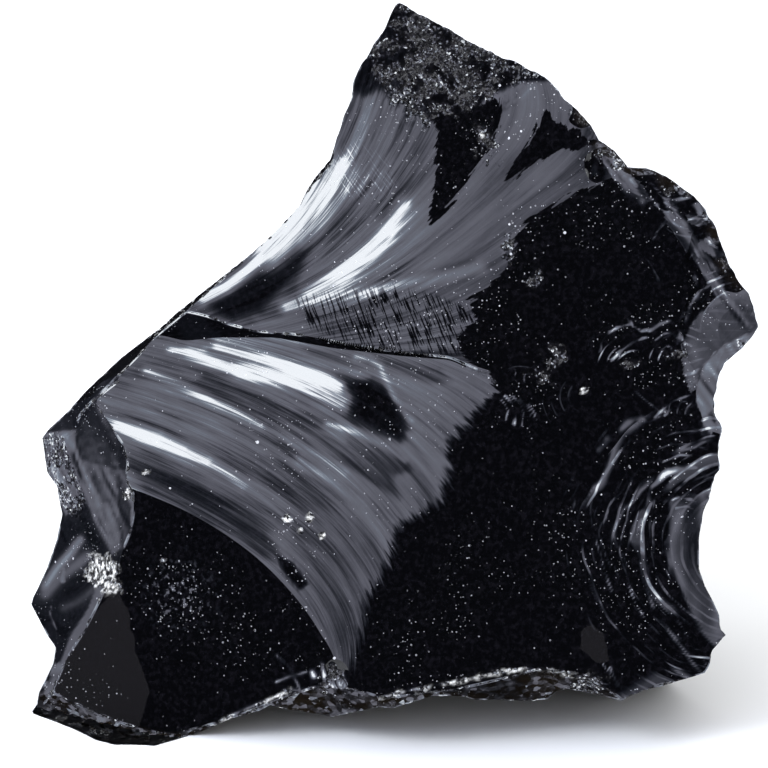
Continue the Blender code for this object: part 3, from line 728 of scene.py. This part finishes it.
SCAR_BANDS = [(0, .62), (6, .5), (9, .58), (10.7, .5), (11.0, .1), (12.4, .08), (12.7, .45), (13.1, .1),
              (13.6, .5), (14.6, .5), (14.9, .06), (15.5, .3), (15.9, .06), (16.4, .55), (16.9, .3),
              (17.4, .1), (18.2, .05), (18.5, .5), (18.9, .05), (20.8, .05), (21.3, .4), (21.9, .6),
              (22.4, .1), (60, 0)]
SCAR_TIER = 11  # the outer edge of the scar's smooth first tier
SCOOP_FLOOR = 6.2  # and of the scoop's smooth floor
INNER = draft("668,500 690,490 712,500 704,540 712,590 726,625 718,652 702,636 686,604 674,574 668,535")
SCOOP_BANDS = [(0, .5), (4.2, .5), (5.6, .56), (6.2, .5), (6.4, .1), (6.8, .44), (7.1, .1), (7.5, .05),
               (8.2, .45), (8.6, .72), (9.0, .1), (9.4, .4), (9.7, .05), (60, 0)]
level = np.zeros((len(stack),) + a.shape)
level[LOWER], level[UPPER], level[FLANK] = (sheen(a, b, face, ground) for face, ground in
                                            ((LOWER, .53), (UPPER, .475), (FLANK, .22)))
scratches = .3 * noise((a * .9 + b * .44) / .6, (a * .44 - b * .9) / 5, 93) + .12 * noise(a / .7, b / .7, 94)
level[FLANK] = level[FLANK] * (1 + step(b, -25, -22) * scratches)
level[MERGED] = np.where(b > ridge(a, LEDGE_FOOT), level[UPPER], level[LOWER])
level[MERGED] = np.where(near_horn, .53, level[MERGED])
bearing = np.degrees(np.arctan2(b - SCAR_HEART[1], SCAR_HEART[0] - a))
warped = scar_reach(a, b) + 1.0 * noise(a / 7, b / 7, 85) + .35 * noise(a / 2.2, b / 2.2, 86)
broken = np.clip(.72 + .9 * noise(bearing / 16, warped / 2.4, 87), 0, 1.05)
cloudy = .85 + .3 * rough(a / 2.6, b / 2.6, 81)
scar = bands(warped, SCAR_BANDS) * np.where(warped < SCAR_TIER, cloudy, broken)
scar_middle = .5 + .1 * step(b, -24, -32) + .14 * noise(a / 2.2, b / 5, 95)
level[SCAR] = scar + (scar_middle - scar) * step(inside(a, b, INNER), -.5, .5)
around = np.degrees(np.arctan2(b - SCOOP_HEART[1], SCOOP_HEART[0] - a))
scoop_wall = step(around, -12, 20) * step(around, 120, 70) * (.75 + .35 * noise(around / 9, horn_away, 90))
level[SCOOP] = bands(horn_away, SCOOP_BANDS) * np.where(horn_away < SCOOP_FLOOR, 1, scoop_wall)
level[NOTCH] = .6 + .17 * rough(a * .9 + b * .3, b * .12, 82)
level[FOOT] = .4 + .14 * rough(a / 1.6, b / .7, 83)
chip_level = np.clip(.1 + .75 * noise(a / 1.5 + b / 4, b / 1.2 - a / 5, 91), 0, .85)
level[STRIP] = chip_level * step(noise(a / 5, b / 5, 92), -.5, .2)
level[NOTCH + 1:] = level[STRIP]
PATCHES = [  # glass along the right edge: outline, softness in millimetres, level, share of streaks
    ("690,325 700,312 720,303 738,300 752,316 760,330 750,334 725,346 708,362 698,388 690,394 683,372 "
     "681,345", .25, .47, .05),
    ("686,340 694,340 700,362 696,384 690,390 684,370", .6, .53, .05),
    ("756,332 744,346 724,365 717,385 714,412 703,418 696,402 697,385 705,364 722,347 746,334", .2, .66, .3),
    ("596,142 604,150 618,158 624,172 640,184 650,202 634,192 612,176 602,162", .3, .52, .5),
    ("664,210 674,211 700,250 722,286 745,318 754,330 740,322 714,294 690,256 668,224", .25, .5, .5),
    ("700,236 716,250 716,260 696,248", .2, .46, .3), ("712,262 724,280 726,292 714,278", .2, .42, .3),
    ("690,214 706,220 704,227 688,222", .2, .44, .3),
    ("712,410 716,420 712,440 700,436 702,418", .3, .5, .4)]
patched = np.zeros(a.shape)
brushed = noise((a * .8 + b * .6) / .7, (a * .6 - b * .8) / 5, 99)
for outline, soft, shade, strip in PATCHES:
    share = within(a, b, outline, soft)
    shade = shade * (1 + strip * brushed)
    level = level + (shade - level) * share
    patched = np.maximum(patched, share)
patched = patched.ravel()[corner]
plain_ground = on_face & ~near_horn.ravel()[corner] & (patched <= .4)
keep("zones", "CORNER",
     (np.where(plain_ground, dark.ravel()[corner], -9),
      np.where(on_face | (which == CORNER), painted_reflection.ravel()[corner], -9),
      edge.ravel()[corner]), rest=(-9, -9, 9))

# Level of the reflection, how far it follows the streaks, and how far it is painted at all.
calm = np.where(on_upper, 1 - .65 * step(corner_a, -2, 12) * step(corner_b, 8, 14),
                .55 + .45 * step(beyond_edge, 10, 26))
on_chips = (np.isin(which, (FLANK, STRIP)) | (which > NOTCH)) & (corner_a > 31) & (corner_b > 6)
painted = np.select(
    [np.isin(which, (LOWER, UPPER, LEDGE, MERGED)), which == CORNER,
     np.isin(which, (FOOT, SCAR, SCOOP, NOTCH)),
     on_flank & (corner_a < -38) & (corner_b > -42), on_chips],
    [.9, .8, .95, .9, .82])
keep("mirror", "CORNER",
     (level.reshape(len(stack), -1)[which, corner], np.where(on_face, calm, 0) * (1 - patched),
      np.maximum(painted, .95 * patched)))

# Fine scratches in two places, and a dull smudge.
smudge = np.exp(-((a + 30.5) / 5.5) ** 2 - ((b + 31.5) / 5.5) ** 2)
keep("scratch", "POINT",
     (step(inside(a, b, COMB), -1.0, .8), step(inside(a, b, HATCH), -.8, 1.0), smudge))


def ring(x, y, heart, turn_from, turn_to, near, far, size):
    """A set of rings: distance from its heart, and strength between two distances and two directions."""
    x, y = x - heart[0], y - heart[1]
    away, turn = np.hypot(x, y), np.degrees(np.arctan2(y, x)) % 360
    middle, half = (turn_from + turn_to) / 2, (turn_to - turn_from) / 2
    off = np.abs((turn - middle + 180) % 360 - 180)
    return away, size * step(off, half, half * .6) * step(away, near - .8, near) * step(away, far + 1.2, far)


# Ripples round the blows, and thin lines of light on the chips.
scar_away = scar_reach(a, b)
rings = [(scar_away, .4 * step(scar_away, 3, 9) * step(scar_away, 30, 22) + .12 * step(scar_away, 40, 26)),
         ring(a, b, (38.0, 1.5), 70, 190, 3.2, 6.4, 1), ring(a, b, (44.5, 2.6), 50, 180, 2.6, 5.6, 1),
         ring(a, b, (47.5, -4.8), 95, 190, 2.4, 5.2, .9), ring(a, b, SCOOP_HEART, 85, 190, 6.4, 9.2, .4),
         ring(a, b, (24.5, .5), 150, 250, 1.6, 5.4, .9), ring(a, b, (30, -2), 120, 230, 2, 6, .5),
         ring(a, b, (49, 17), 130, 230, 3, 7, .45), ring(a, b, (45.5, 27), 200, 320, 2, 5, .6),
         ring(a, b, (20.5, -2.2), 10, 130, 2, 5, .6)]
strengths = np.stack([size for _, size in rings])
NOTCH_BAND = draft("756,330 725,362 717,385 714,412 693,416 695,385 701,363 712,343")
strengths = (strengths * step(inside(a, b, NOTCH_BAND), .2, -.4)
             * (1 - .7 * step(inside(a, b, INNER), -.4, .4)))
best = strengths.argmax(0)
GLEAMS = [  # line, half width, level
    ("600,352 602,342 608,333 618,327 628,325", .3, .85), ("588,346 592,338 598,332", .2, .6),
    ("612,360 622,350 634,342 648,337", .32, .8), ("628,318 633,326 641,331 647,330", .3, .75),
    ("650,331 660,324 670,321 677,326 681,336 685,345", .36, .95),
    ("655,340 664,334 672,333 679,340", .3, .7), ("661,350 668,345 674,353 675,366", .25, .6),
    ("655,417 662,410 672,402 684,397 694,394", .35, .9), ("664,416 672,408 682,402 693,400", .25, .6),
    ("600,450 607,440 620,430 634,418 643,420", .8, .5),
    ("668,214 676,222 690,242 702,260 716,282 730,300 742,314 751,326", .5, .66),
    ("676,214 690,234 704,256 716,272", .8, .6),
    ("668,219 658,230 652,242 648,258 652,268 660,284", .28, .5), ("690,214 700,219 708,220", .3, .7),
    ("696,222 704,221 712,224", .25, .6), ("664,198 676,200 690,197", .35, .7),
    ("632,170 644,176 654,186 662,196 672,204", .3, .6), ("601,148 608,156 606,166", .5, .7),
    ("612,172 620,180 632,192 642,200", 1.1, .64), ("620,168 628,178 636,186", .6, .85),
    ("648,500 641,515 637,535 638,555 645,585 655,612 680,645 700,672", .55, .6),
    ("655,500 650,520 650,545 656,575 668,605 690,640 706,664", .3, .52),
    ("648,500 652,487 664,475 680,468 697,468 707,478", .6, .84), ("652,492 644,512 642,530", .35, .8),
    ("497,397 503,402 508,410 506,420", .22, .75), ("505,396 512,403 516,412 514,424", .25, .85),
    ("513,397 520,404 524,414 522,426", .22, .8), ("521,400 528,408 531,418", .2, .7),
    ("529,404 534,412 536,420", .2, .65), ("636,392 650,404 660,412 668,410", .3, .55),
    ("672,500 680,497 692,500 700,504", .35, .8), ("676,508 688,507 700,512", .3, .7),
    ("620,566 628,584 636,604 646,620 655,631", .25, .75),
    ("592,500 590,515 595,535 599,550 605,572 612,592", .3, .62),
    ("570,488 575,500 572,516 578,540", .25, .45), ("612,455 606,470 602,486", .35, .5),
    ("678,344 679,326 686,308 700,292 714,282", .3, .66), ("684,332 692,315 706,301 724,293", .2, .5),
    ("681,338 683,322 691,307 704,295 718,287", .18, .55),
    ("711,392 706,376 716,358 732,344 752,332", .22, .66), ("700,392 703,372 714,353 730,341", .2, .6),
    ("706,372 718,354 736,340", .18, .8), ("668,212 682,230 700,258 716,282 734,306 750,326", .22, .78),
    ("664,198 668,206 676,210", .3, .8), ("642,190 654,202 664,212", .25, .6),
    ("608,152 616,158 622,170 632,180", .4, .8), ("600,146 604,160 612,172", .3, .72),
    ("690,216 702,222 712,224", .2, .7), ("700,234 710,244 718,248", .2, .6),
    ("708,262 718,268 726,276", .2, .5), ("664,474 676,468 690,466 702,470 709,478", .6, .8),
    ("662,462 680,455 700,456 716,466", .3, .7), ("655,450 672,444 692,444 708,450", .25, .55),
    ("610,668 616,680 622,690", .35, .85), ("603,664 610,676 618,688", .2, .8),
    ("624,666 622,678 626,688", .2, .75), ("322,664 324,674 326,684", .4, .9),
    ("332,664 336,676 342,690", .5, .9), ("340,676 346,688 350,696", .35, .7),
    ("276,682 290,676 306,672", .3, .7), ("312,672 314,677", .5, .95),
    ("284,690 300,690 330,688", .3, .5), ("505,218 508,232 512,246 510,262", .35, .55),
    ("482,132 485,142", .7, .7), ("220,722 240,712 260,703 276,696 290,690", .3, .6),
    ("186,738 204,736 222,726", .3, .55), ("370,700 400,692 430,686 460,680 500,672 530,668", .28, .62),
    ("530,668 560,672 592,680 625,690", .28, .6), ("42,714 70,724 100,736 140,742", .3, .6),
    ("60,728 90,740 130,746", .35, .5), ("352,694 362,702 372,700", .4, .7),
    ("276,655 290,668 300,690", .25, .5), ("44,440 50,462 58,486", .5, .55),
    ("70,440 78,462 74,480", .4, .5), ("70,462 82,490 96,520 110,544", .45, .62),
    ("84,468 96,496 108,524", .3, .5), ("60,564 64,572 62,580", .7, .6),
    ("52,600 50,616 56,630", .3, .55)]
gleam = np.zeros(a.shape)
unsteady, fitful = .12 * noise(a / .9, b / .9, 88), .8 + .5 * noise(a / 1.5, b / 1.5, 89)
for line, wide, shade in GLEAMS:
    near = np.abs(inside(a, b, draft(line), closed=False)) + unsteady
    gleam = np.maximum(gleam, shade * np.exp(-(near / wide) ** 2) * fitful)
keep("ripple", "POINT",
     (np.take_along_axis(np.stack([away for away, _ in rings]), best[None], 0), strengths.max(0), gleam))

# Crushed glass on the top and the chipped edges, white crust with a white highlight line painted along the
# foot ridge, and brownish edges.
CAP = draft("365,55 385,25 400,-5 440,18 480,40 540,72 520,82 500,92 460,112 430,122 410,117 394,102 380,85")
CRUSHED = [  # middle, half width, half height
    ((22.5, 15.3), 1.6, 2.2), ((19, 20.5), 1.4, 2.6), ((15.3, 36.6), 2.2, 3.6), ((25.8, 4.6), 3, 2),
    ((23.5, 1.2), 2.4, 1.6), ((33, 35), 2.6, 1.2), ((36, 33), 2.6, 1.2), ((-8, -44.5), 2.2, 3.2),
    ((31, -45), 4, 2), ((37, 3), 2.2, .9), ((43.5, 4.4), 2.2, 1.0), ((44, 29), 3, 1.4)]
CRUST = [  # middle, half width, half height
    ((-42.3, -28.0), 2.5, 2.6), ((-40.8, -30.4), 1.6, 1.6), ((-38.5, -16.5), .8, .9),
    ((-14.5, -20.3), .75, .6), ((-11.2, -20.0), .4, .65), ((-9.2, -22.8), .4, .5), ((-12.6, -22.0), .3, .3),
    ((-35.6, -13.2), .45, .35), ((-33, -26.6), .3, .3), ((29.9, -.9), .5, .4), ((14.6, 37.4), .5, .5)]
# Painted highlight: broken lines along the foot ridge drawn white into the crust colour, standing for its
# bright edge.
FOOT_HIGHLIGHT_LINES = ["222,721 240,712 262,703 290,690", "372,700 400,693 460,681 500,673 530,668",
               "530,668 560,672 592,681 625,690", "52,716 70,722 100,732 150,741 190,740"]
STRIP_ROUGH = draft("50,432 62,436 70,450 76,475 86,500 78,520 64,510 56,486 44,465 40,440")
crumb = step(inside(a, b, CAP) + 1.2 * rough(a / 1.6, b / 1.6, 40), -.3, .5)
crumb = crumb * (.85 + np.exp(-((a - 9) / 6) ** 2 - ((b - 46) / 5) ** 2))
ragged = .5 * rough(a / .9, b / .9, 44)
for (x, y), wide, tall in CRUSHED:
    crumb = np.maximum(crumb, 1.6 * step(np.hypot((a - x) / wide, (b - y) / tall) + ragged, .9, .2))
crumb = np.maximum(crumb, .45 * step(inside(a, b, STRIP_ROUGH), -.3, .6))
crumb = np.maximum(crumb, 1.2 * step(edge, 1.8, .3) * step(a, 26, 32) * step(b, 4, 9)
                   * step(noise(a / 1.8, b / 1.8, 41), -.3, .5))
crust_and_highlight = 0
ragged = .35 * rough(a / .8, b / .8, 45)
for (x, y), wide, tall in CRUST:
    crust_and_highlight = np.maximum(crust_and_highlight, step(np.hypot((a - x) / wide, (b - y) / tall) + ragged, 1.1, .6))
# The painted highlight lines along the foot ridge join the real crust.
unsteady, fitful = .25 * noise(a / 1.1, b / 1.1, 46), step(noise(a / 2, b / 2, 47), -.5, .3)
for line in FOOT_HIGHLIGHT_LINES:
    near = np.abs(inside(a, b, draft(line), closed=False)) + unsteady
    crust_and_highlight = np.maximum(crust_and_highlight, .8 * np.exp(-(near / .22) ** 2) * fitful)
brown = .5 * step(edge, 3, 0) * step(a, 22, 34) * step(b, 10, 20) * step(noise(a / 2.5, b / 2.5, 97), -.4, .5)
brown = np.maximum(brown, step(ridge(a, FOOT_RIDGE) - b, -.15, .3) * (.55 + .45 * noise(a / 6, b / 3, 98)))
keep("crumbly", "POINT", (crumb, crust_and_highlight, brown))

stone = bpy.data.objects.new("obsidian_stone", stone_mesh)
bpy.context.scene.collection.objects.link(stone)


class Wire:
    """A value on its way through the material; sums and products add Math nodes."""

    def __init__(self, finish, socket):
        self.finish, self.socket = finish, socket

    def maths(self, operation, left, right):
        return self.finish.add("ShaderNodeMath", {"operation": operation}, {0: left, 1: right})

    def __add__(self, other):
        return self.maths("ADD", self, other)

    def __radd__(self, other):
        return self.maths("ADD", other, self)

    def __sub__(self, other):
        return self.maths("SUBTRACT", self, other)

    def __rsub__(self, other):
        return self.maths("SUBTRACT", other, self)

    def __mul__(self, other):
        return self.maths("MULTIPLY", self, other)

    def __truediv__(self, other):
        return self.maths("DIVIDE", self, other)

    def __gt__(self, other):
        return self.maths("GREATER_THAN", self, other)

    def __lt__(self, other):
        return self.maths("LESS_THAN", self, other)


class Finish:
    """A material; add() puts in one node from its settings and its sockets' values."""

    def __init__(self, name):
        self.material = bpy.data.materials.new(name)
        self.material.use_nodes = True
        self.tree = self.material.node_tree
        self.shader = self.tree.nodes["Principled BSDF"]

    def link(self, socket, value):
        if isinstance(value, Wire):
            self.tree.links.new(value.socket, socket)
        else:
            socket.default_value = value

    def add(self, kind, settings, sockets, out=0):
        node = self.tree.nodes.new(kind)
        for key, value in settings.items():
            setattr(node, key, value)
        for key, value in sockets.items():
            self.link(node.inputs[key], value)
        return Wire(self, node.outputs[out])

    def set(self, **sockets):
        for key, value in sockets.items():
            self.link(self.shader.inputs[key.replace("_", " ")], value)

    def split(self, name):
        """The three numbers that the mesh keeps under one name."""
        kept = self.add("ShaderNodeAttribute", {"attribute_name": name}, {}, "Vector")
        return [self.part(kept, k) for k in range(3)]

    def part(self, vector, k):
        return self.add("ShaderNodeSeparateXYZ", {}, {0: vector}, k)

    def vector(self, operation, one, two=(0, 0, 0)):
        return self.add("ShaderNodeVectorMath", {"operation": operation}, {0: one, 1: two})

    def scaled(self, vector, amount):
        return self.add("ShaderNodeVectorMath", {"operation": "SCALE"}, {0: vector, "Scale": amount})

    def blend(self, factor, one, two):
        """From one vector to the other as the factor runs from 0 to 1."""
        return self.add("ShaderNodeMix", {"data_type": "VECTOR"}, {0: factor, 4: one, 5: two}, 1)

    def most(self, one, two, clamp=True):
        """The larger of two values, held between 0 and 1 by the clamp."""
        return self.add("ShaderNodeMath", {"operation": "MAXIMUM", "use_clamp": clamp}, {0: one, 1: two})

    def sine(self, value):
        return self.add("ShaderNodeMath", {"operation": "SINE"}, {0: value})

    def ease(self, value, start, end):
        """0 at start, 1 at end, smooth between."""
        return self.add("ShaderNodeMapRange", {"interpolation_type": "SMOOTHSTEP"},
                        {"Value": value, "From Min": start, "From Max": end})

    def mix(self, factor, one, two):
        """From one colour to the other as the factor runs from 0 to 1."""
        node = self.tree.nodes.new("ShaderNodeMix")
        node.data_type = "RGBA"
        for key, value in ((0, factor), (6, one), (7, two)):
            self.link(node.inputs[key], value)
        return Wire(self, node.outputs[2])


# The glass itself is black and clear; brown edges, powder, crust and dust lie on it. A dim grey reflection is
# painted into its colour on the left corner, and a white highlight along the foot ridge.
DEEP_BLACK = (.0009, .0009, .0013, 1)
SOFT_BLACK = (.0034, .0032, .0045, 1)
PAINTED_REFLECTION_GREY = (.0072, .0068, .0075, 1)
BROWN = (.022, .016, .010, 1)
POWDER = (.06, .058, .062, 1)
CRUST_AND_HIGHLIGHT_WHITE = (.75, .74, .71, 1)
DUST_GREY = (.42, .42, .44, 1)
glass = Finish("volcanic_glass")
spot = glass.add("ShaderNodeTexCoord", {}, {}, "Object")
spot = glass.scaled(spot, 1000.0)
spot_x, spot_z = glass.part(spot, 0), glass.part(spot, 2)
number, along, width = glass.split("streak")
dark, painted_reflection, edge = glass.split("zones")
level, fibre, painted = glass.split("mirror")
comb_here, hatch_here, smudge = glass.split("scratch")
ring_away, ring_size, gleam = glass.split("ripple")
crumbly, crust_and_highlight, brown = glass.split("crumbly")


def streaks(across, down, detail):
    """Noise drawn out along the streak lines."""
    at = glass.add("ShaderNodeCombineXYZ", {}, {0: number * across, 1: along * down})
    return glass.add("ShaderNodeTexNoise", {},
                     {"Vector": at, "Scale": 1.0, "Detail": detail, "Roughness": .6})


def lumps(scale, detail):
    """Noise that is alike in every direction; scale is lumps a millimetre."""
    return glass.add("ShaderNodeTexNoise", {}, {"Vector": spot, "Scale": scale, "Detail": detail})


hackle = (streaks(14.0, .06, 3.0) - .5) * width * .0045 + (streaks(50.0, .12, 2.0) - .5) * width * .0012
pits = (lumps(.35, 6.0) - .5) * .05
uneven = glass.add("ShaderNodeTexNoise", {"noise_dimensions": "1D"},
                   {"W": ring_away * .55, "Scale": 1.0, "Detail": 5.0, "Roughness": .75})
waver = glass.add("ShaderNodeTexNoise", {}, {"Vector": spot, "Scale": .16, "Detail": 2.0})
wave = glass.sine(ring_away * 3.4 + waver * 5.0) * .5 + uneven * 3.2
height = hackle + pits * .3 + wave * ring_size * .05
grain = glass.add("ShaderNodeBump", {}, {"Strength": 1.0, "Distance": .001, "Height": height})

# The dark ground frays along the streaks, and is softer below mid height.
fray = (streaks(9.0, .16, 4.0) - .5) * 4.0
soft = glass.ease(spot_z * -1 + 54, 0.0, 6.0)
dark = glass.ease((dark + fray * (soft * .5 + 1)) / (soft * 14 + 1) + soft * .02, -.1, .1)
# Painted reflection zones, their edges frayed by noise.
painted_reflection = glass.ease(painted_reflection + (lumps(.5, 3.0) - .5) * 1.0, -.1, .1)


def strokes(turn, pitch, long):
    """Short straight strokes; turn is their direction, pitch and long their spacing and length."""
    way_x, way_z = math.cos(math.radians(turn)), math.sin(math.radians(turn))
    at = glass.add("ShaderNodeCombineXYZ", {}, {0: (spot_z * way_x - spot_x * way_z) / pitch,
                                                1: (spot_x * way_x + spot_z * way_z) / long})
    return glass.add("ShaderNodeTexNoise", {}, {"Vector": at, "Scale": 1.0, "Detail": 2.0})


# The level of the reflection, with its streaks, scratches, ripples and lit edges.
comb = glass.ease(strokes(-66, .3, 3.6), .5, .6) * comb_here
hatch = glass.ease(strokes(-50, .24, 5.0), .55, .66) + glass.ease(strokes(62, .3, 4.0), .56, .68)
hair = (streaks(2.6, .05, 3.0) - .5) * 1.25 + (streaks(9.0, .06, 4.0) - .5) * .8
hair = hair + (streaks(34.0, .1, 2.0) - .5) * .55
hair = hair * fibre * (level * 1.35 + .03)
patchy = glass.ease(lumps(.22, 3.0), .42, .62)
arcs = glass.ease(glass.sine(ring_away * 4.9 + waver * 6.0) + (uneven - .5) * 2.6, .3, 1.1) * ring_size
arcs = arcs * (patchy * .75 + .25)
rim_light = glass.ease(.3 - edge, 0.0, .15) * glass.ease(lumps(.3, 4.0), .42, .58)
level = (level + hair - comb * .38 + hatch * hatch_here * .16) * (1 - dark) + arcs * .85
level = glass.most(level, gleam, clamp=False)
level = level + glass.ease(lumps(1.3, 5.0), .5, .66) * smudge * .7
level = glass.most(level, rim_light * .78, clamp=False)

# A normal that mirrors the ring of the soft box with that level: from square on to the sheet,
# at level 0, it turns towards the middle of the light, at level 1.
straight = (0.0, -math.cos(LEAN), math.sin(LEAN))
to_light = (-.33, .21 * math.sin(LEAN), .21 * math.cos(LEAN) + .049)
towards = glass.vector("ADD", glass.scaled(spot, -.0009), to_light)
towards = glass.vector("ADD", glass.scaled(towards, level), straight)


def shards(scale, amount):
    """Tilt of every small broken face in crushed glass."""
    tilt = glass.add("ShaderNodeTexVoronoi", {"feature": "F1"}, {"Vector": spot, "Scale": scale}, "Color")
    return glass.scaled(glass.vector("SUBTRACT", tilt, (.5, .5, .5)), amount)


chipped = glass.ease((lumps(.9, 3.0) - .5) * 1.1 + .06 - edge, 0.0, .1)
clumps = glass.ease(lumps(.3, 3.0), .35, .6)
glints = glass.ease(lumps(1.7, 2.0), .42, .56) * .8 + .2
crushed = glass.most(glass.most(crumbly * clumps * glints, chipped), crust_and_highlight)
facets = glass.vector("ADD", shards(3.0, crushed * 1.9), shards(1.1, brown * .35 + crushed * .3))
painted = glass.most(painted, glass.ease(gleam + arcs, .05, .3) * .95)
grain = glass.blend(dark * .85, grain, straight)
grain = glass.blend(painted, grain, towards)
grain = glass.vector("NORMALIZE", glass.vector("ADD", grain, facets))


def specks(scale, size, share):
    """Dust: a dot in some of the cells of a scatter."""
    cell = {"Vector": spot, "Scale": scale, "Randomness": 1.0}
    far = glass.add("ShaderNodeTexVoronoi", {"feature": "F1"}, cell, "Distance")
    tint = glass.add("ShaderNodeTexVoronoi", {"feature": "F1"}, cell, "Color")
    luck = glass.add("ShaderNodeSeparateColor", {}, {0: tint}, 0)
    sharp = glass.add("ShaderNodeSeparateColor", {}, {0: tint}, 1)
    return (far < sharp * sharp * size) * (luck + share > 1)


spread_out = glass.ease(lumps(.09, 3.0), .45, .62)
dust = specks(.6, .16, spread_out * .2 + .05)
fine = specks(1.5, .26, spread_out * .34 + smudge * 1.1 + .03)
finest = specks(3.1, .4, spread_out * .36 + smudge * .6 + .03)
mask = glass.most(dust, (fine + finest) * (lumps(1.5, 0.0) - .12))
# White of the real crust and of the highlight painted along the foot ridge.
white = glass.ease(lumps(1.2, 4.0), .42, .62) * crust_and_highlight
ground = glass.mix(glass.ease(lumps(1.4, 6.0), .45, .7), DEEP_BLACK, SOFT_BLACK)
ground = glass.mix(brown * .6, ground, BROWN)
# Painted reflection: the black is lifted to a dim grey in those zones.
ground = glass.mix(painted_reflection, ground, PAINTED_REFLECTION_GREY)
ground = glass.mix(crushed * .3, ground, POWDER)
ground = glass.mix(white, ground, CRUST_AND_HIGHLIGHT_WHITE)
glass.set(Base_Color=glass.mix(mask, ground, DUST_GREY),
          Roughness=.045 + mask * .5 + white * .4, Normal=grain)
glass.shader.inputs["IOR"].default_value = 1.5
stone_mesh.materials.append(glass.material)
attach(stone, "root")
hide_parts("obsidian_chunk")

# ---------------------------------------------------------------------------
# The table: a wide pale sheet of card, swept away to the horizon.
# ---------------------------------------------------------------------------
card = bpy.data.meshes.new("card")
card.from_pydata([(-4, -4, 0), (4, -4, 0), (4, 4, 0), (-4, 4, 0)], [], [(0, 1, 2, 3)])
table = bpy.data.objects.new("table_card", card)
bpy.context.scene.collection.objects.link(table)
paper = Finish("white_card")
paper_fibre = paper.add("ShaderNodeTexNoise", {}, {"Scale": 300.0, "Detail": 2.0})
paper.set(Base_Color=paper.mix(paper_fibre, (.80, .80, .805, 1), (.82, .82, .825, 1)), Roughness=.9)
card.materials.append(paper.material)

# ---------------------------------------------------------------------------
# Light: a round soft box high on the left with a hot middle, fainter ones
# to the right and behind, and an even white room that the glass hardly mirrors.
# ---------------------------------------------------------------------------
AIM = np.array([0, 0, .05])
LAMP_AWAY = 1.5
KEY_STEP = .01


def soft_box(name, way, radius, bright, far=LAMP_AWAY, colour=(.92, .96, 1.0)):
    """A round lamp; way is (degrees round from the front, degrees up), radius is its half angle."""
    bearing, up = (math.radians(v) for v in way)
    out = np.array([math.sin(bearing) * math.cos(up), -math.cos(bearing) * math.cos(up), math.sin(up)])
    lamp = bpy.data.lights.new(name, "AREA")
    lamp.shape = "DISK"
    lamp.size = 2 * far * math.tan(math.radians(radius))
    lamp.energy = bright * math.pi * math.pi * (lamp.size / 2) ** 2
    lamp.color = colour
    thing = bpy.data.objects.new(name, lamp)
    bpy.context.scene.collection.objects.link(thing)
    side = np.cross((0, 0, 1), out)
    side /= np.linalg.norm(side)
    frame_of_lamp = np.eye(4)
    frame_of_lamp[:3] = np.stack([side, np.cross(out, side), out, AIM + out * far], 1)
    thing.matrix_world = mathutils.Matrix(frame_of_lamp.tolist())
    thing.visible_camera = False


KEY_WAY = (-46.3, 38.3)
KEY_DISCS = [  # half angle, brightness, colour, from the faint outer ring to the hot middle
    (35, .12, (.5, .6, .9)), (32.5, .15, (.65, .73, 1)), (30.5, .2, (.76, .8, 1)), (28.5, .28, (.78, .81, 1)),
    (27, .33, (.8, .81, 1)), (26, .38, (.8, .81, 1)), (25, .42, (.8, .81, 1)), (24, .45, (.8, .81, 1)),
    (23, .48, (.8, .82, 1)), (22, .5, (.8, .82, 1)), (20.7, .5, (.76, .82, 1)), (19.3, .55, (.7, .8, 1)),
    (18, .65, (.66, .79, 1)), (16, 1.0, (.6, .77, 1)), (14, 2.2, (.68, .83, 1)),
    (12, 4, (.88, .94, 1)), (10, 6, (1, 1, 1)), (8, 8, (1, 1, 1))]
for place, (radius, bright, colour) in enumerate(KEY_DISCS):
    soft_box("key_%d" % place, KEY_WAY, radius, bright, LAMP_AWAY - KEY_STEP * place, colour)
soft_box("over", (0, 66), 12, 1.6)
soft_box("left_side", (-104, 24), 15, 2.0)
soft_box("right_side", (98, 28), 15, 2.2)
soft_box("behind_left", (-150, 35), 22, 2.0)
soft_box("behind_right", (155, 30), 18, 2.0)

ROOM_WHITE = (1.0, 1.0, 1.0, 1)
MIRRORED_ROOM = (.015, .016, .018, 1)
world = bpy.data.worlds.new("room")
bpy.context.scene.world = world
world.use_nodes = True
nodes, links = world.node_tree.nodes, world.node_tree.links
ray = nodes.new("ShaderNodeLightPath")
tone = nodes.new("ShaderNodeMix")
tone.data_type = "RGBA"
tone.inputs[6].default_value = ROOM_WHITE
tone.inputs[7].default_value = MIRRORED_ROOM
links.new(ray.outputs["Is Glossy Ray"], tone.inputs[0])
links.new(tone.outputs[2], nodes["Background"].inputs["Color"])

# ---------------------------------------------------------------------------
# Camera: level with the drafting sheet, square on to it.
# ---------------------------------------------------------------------------
FOCAL_LENGTH = 281.25
lens = bpy.data.cameras.new("camera")
lens.lens = FOCAL_LENGTH
lens.clip_end = 20
camera = bpy.data.objects.new("camera", lens)
bpy.context.scene.collection.objects.link(camera)
eye = np.array([0, -math.cos(LEAN) * REACH, CENTRE_HEIGHT + math.sin(LEAN) * REACH]) + middle
camera.location = eye / 1000
camera.rotation_euler = (math.pi / 2 - LEAN, 0, 0)
bpy.context.scene.camera = camera
bpy.context.scene.view_settings.view_transform = "Standard"
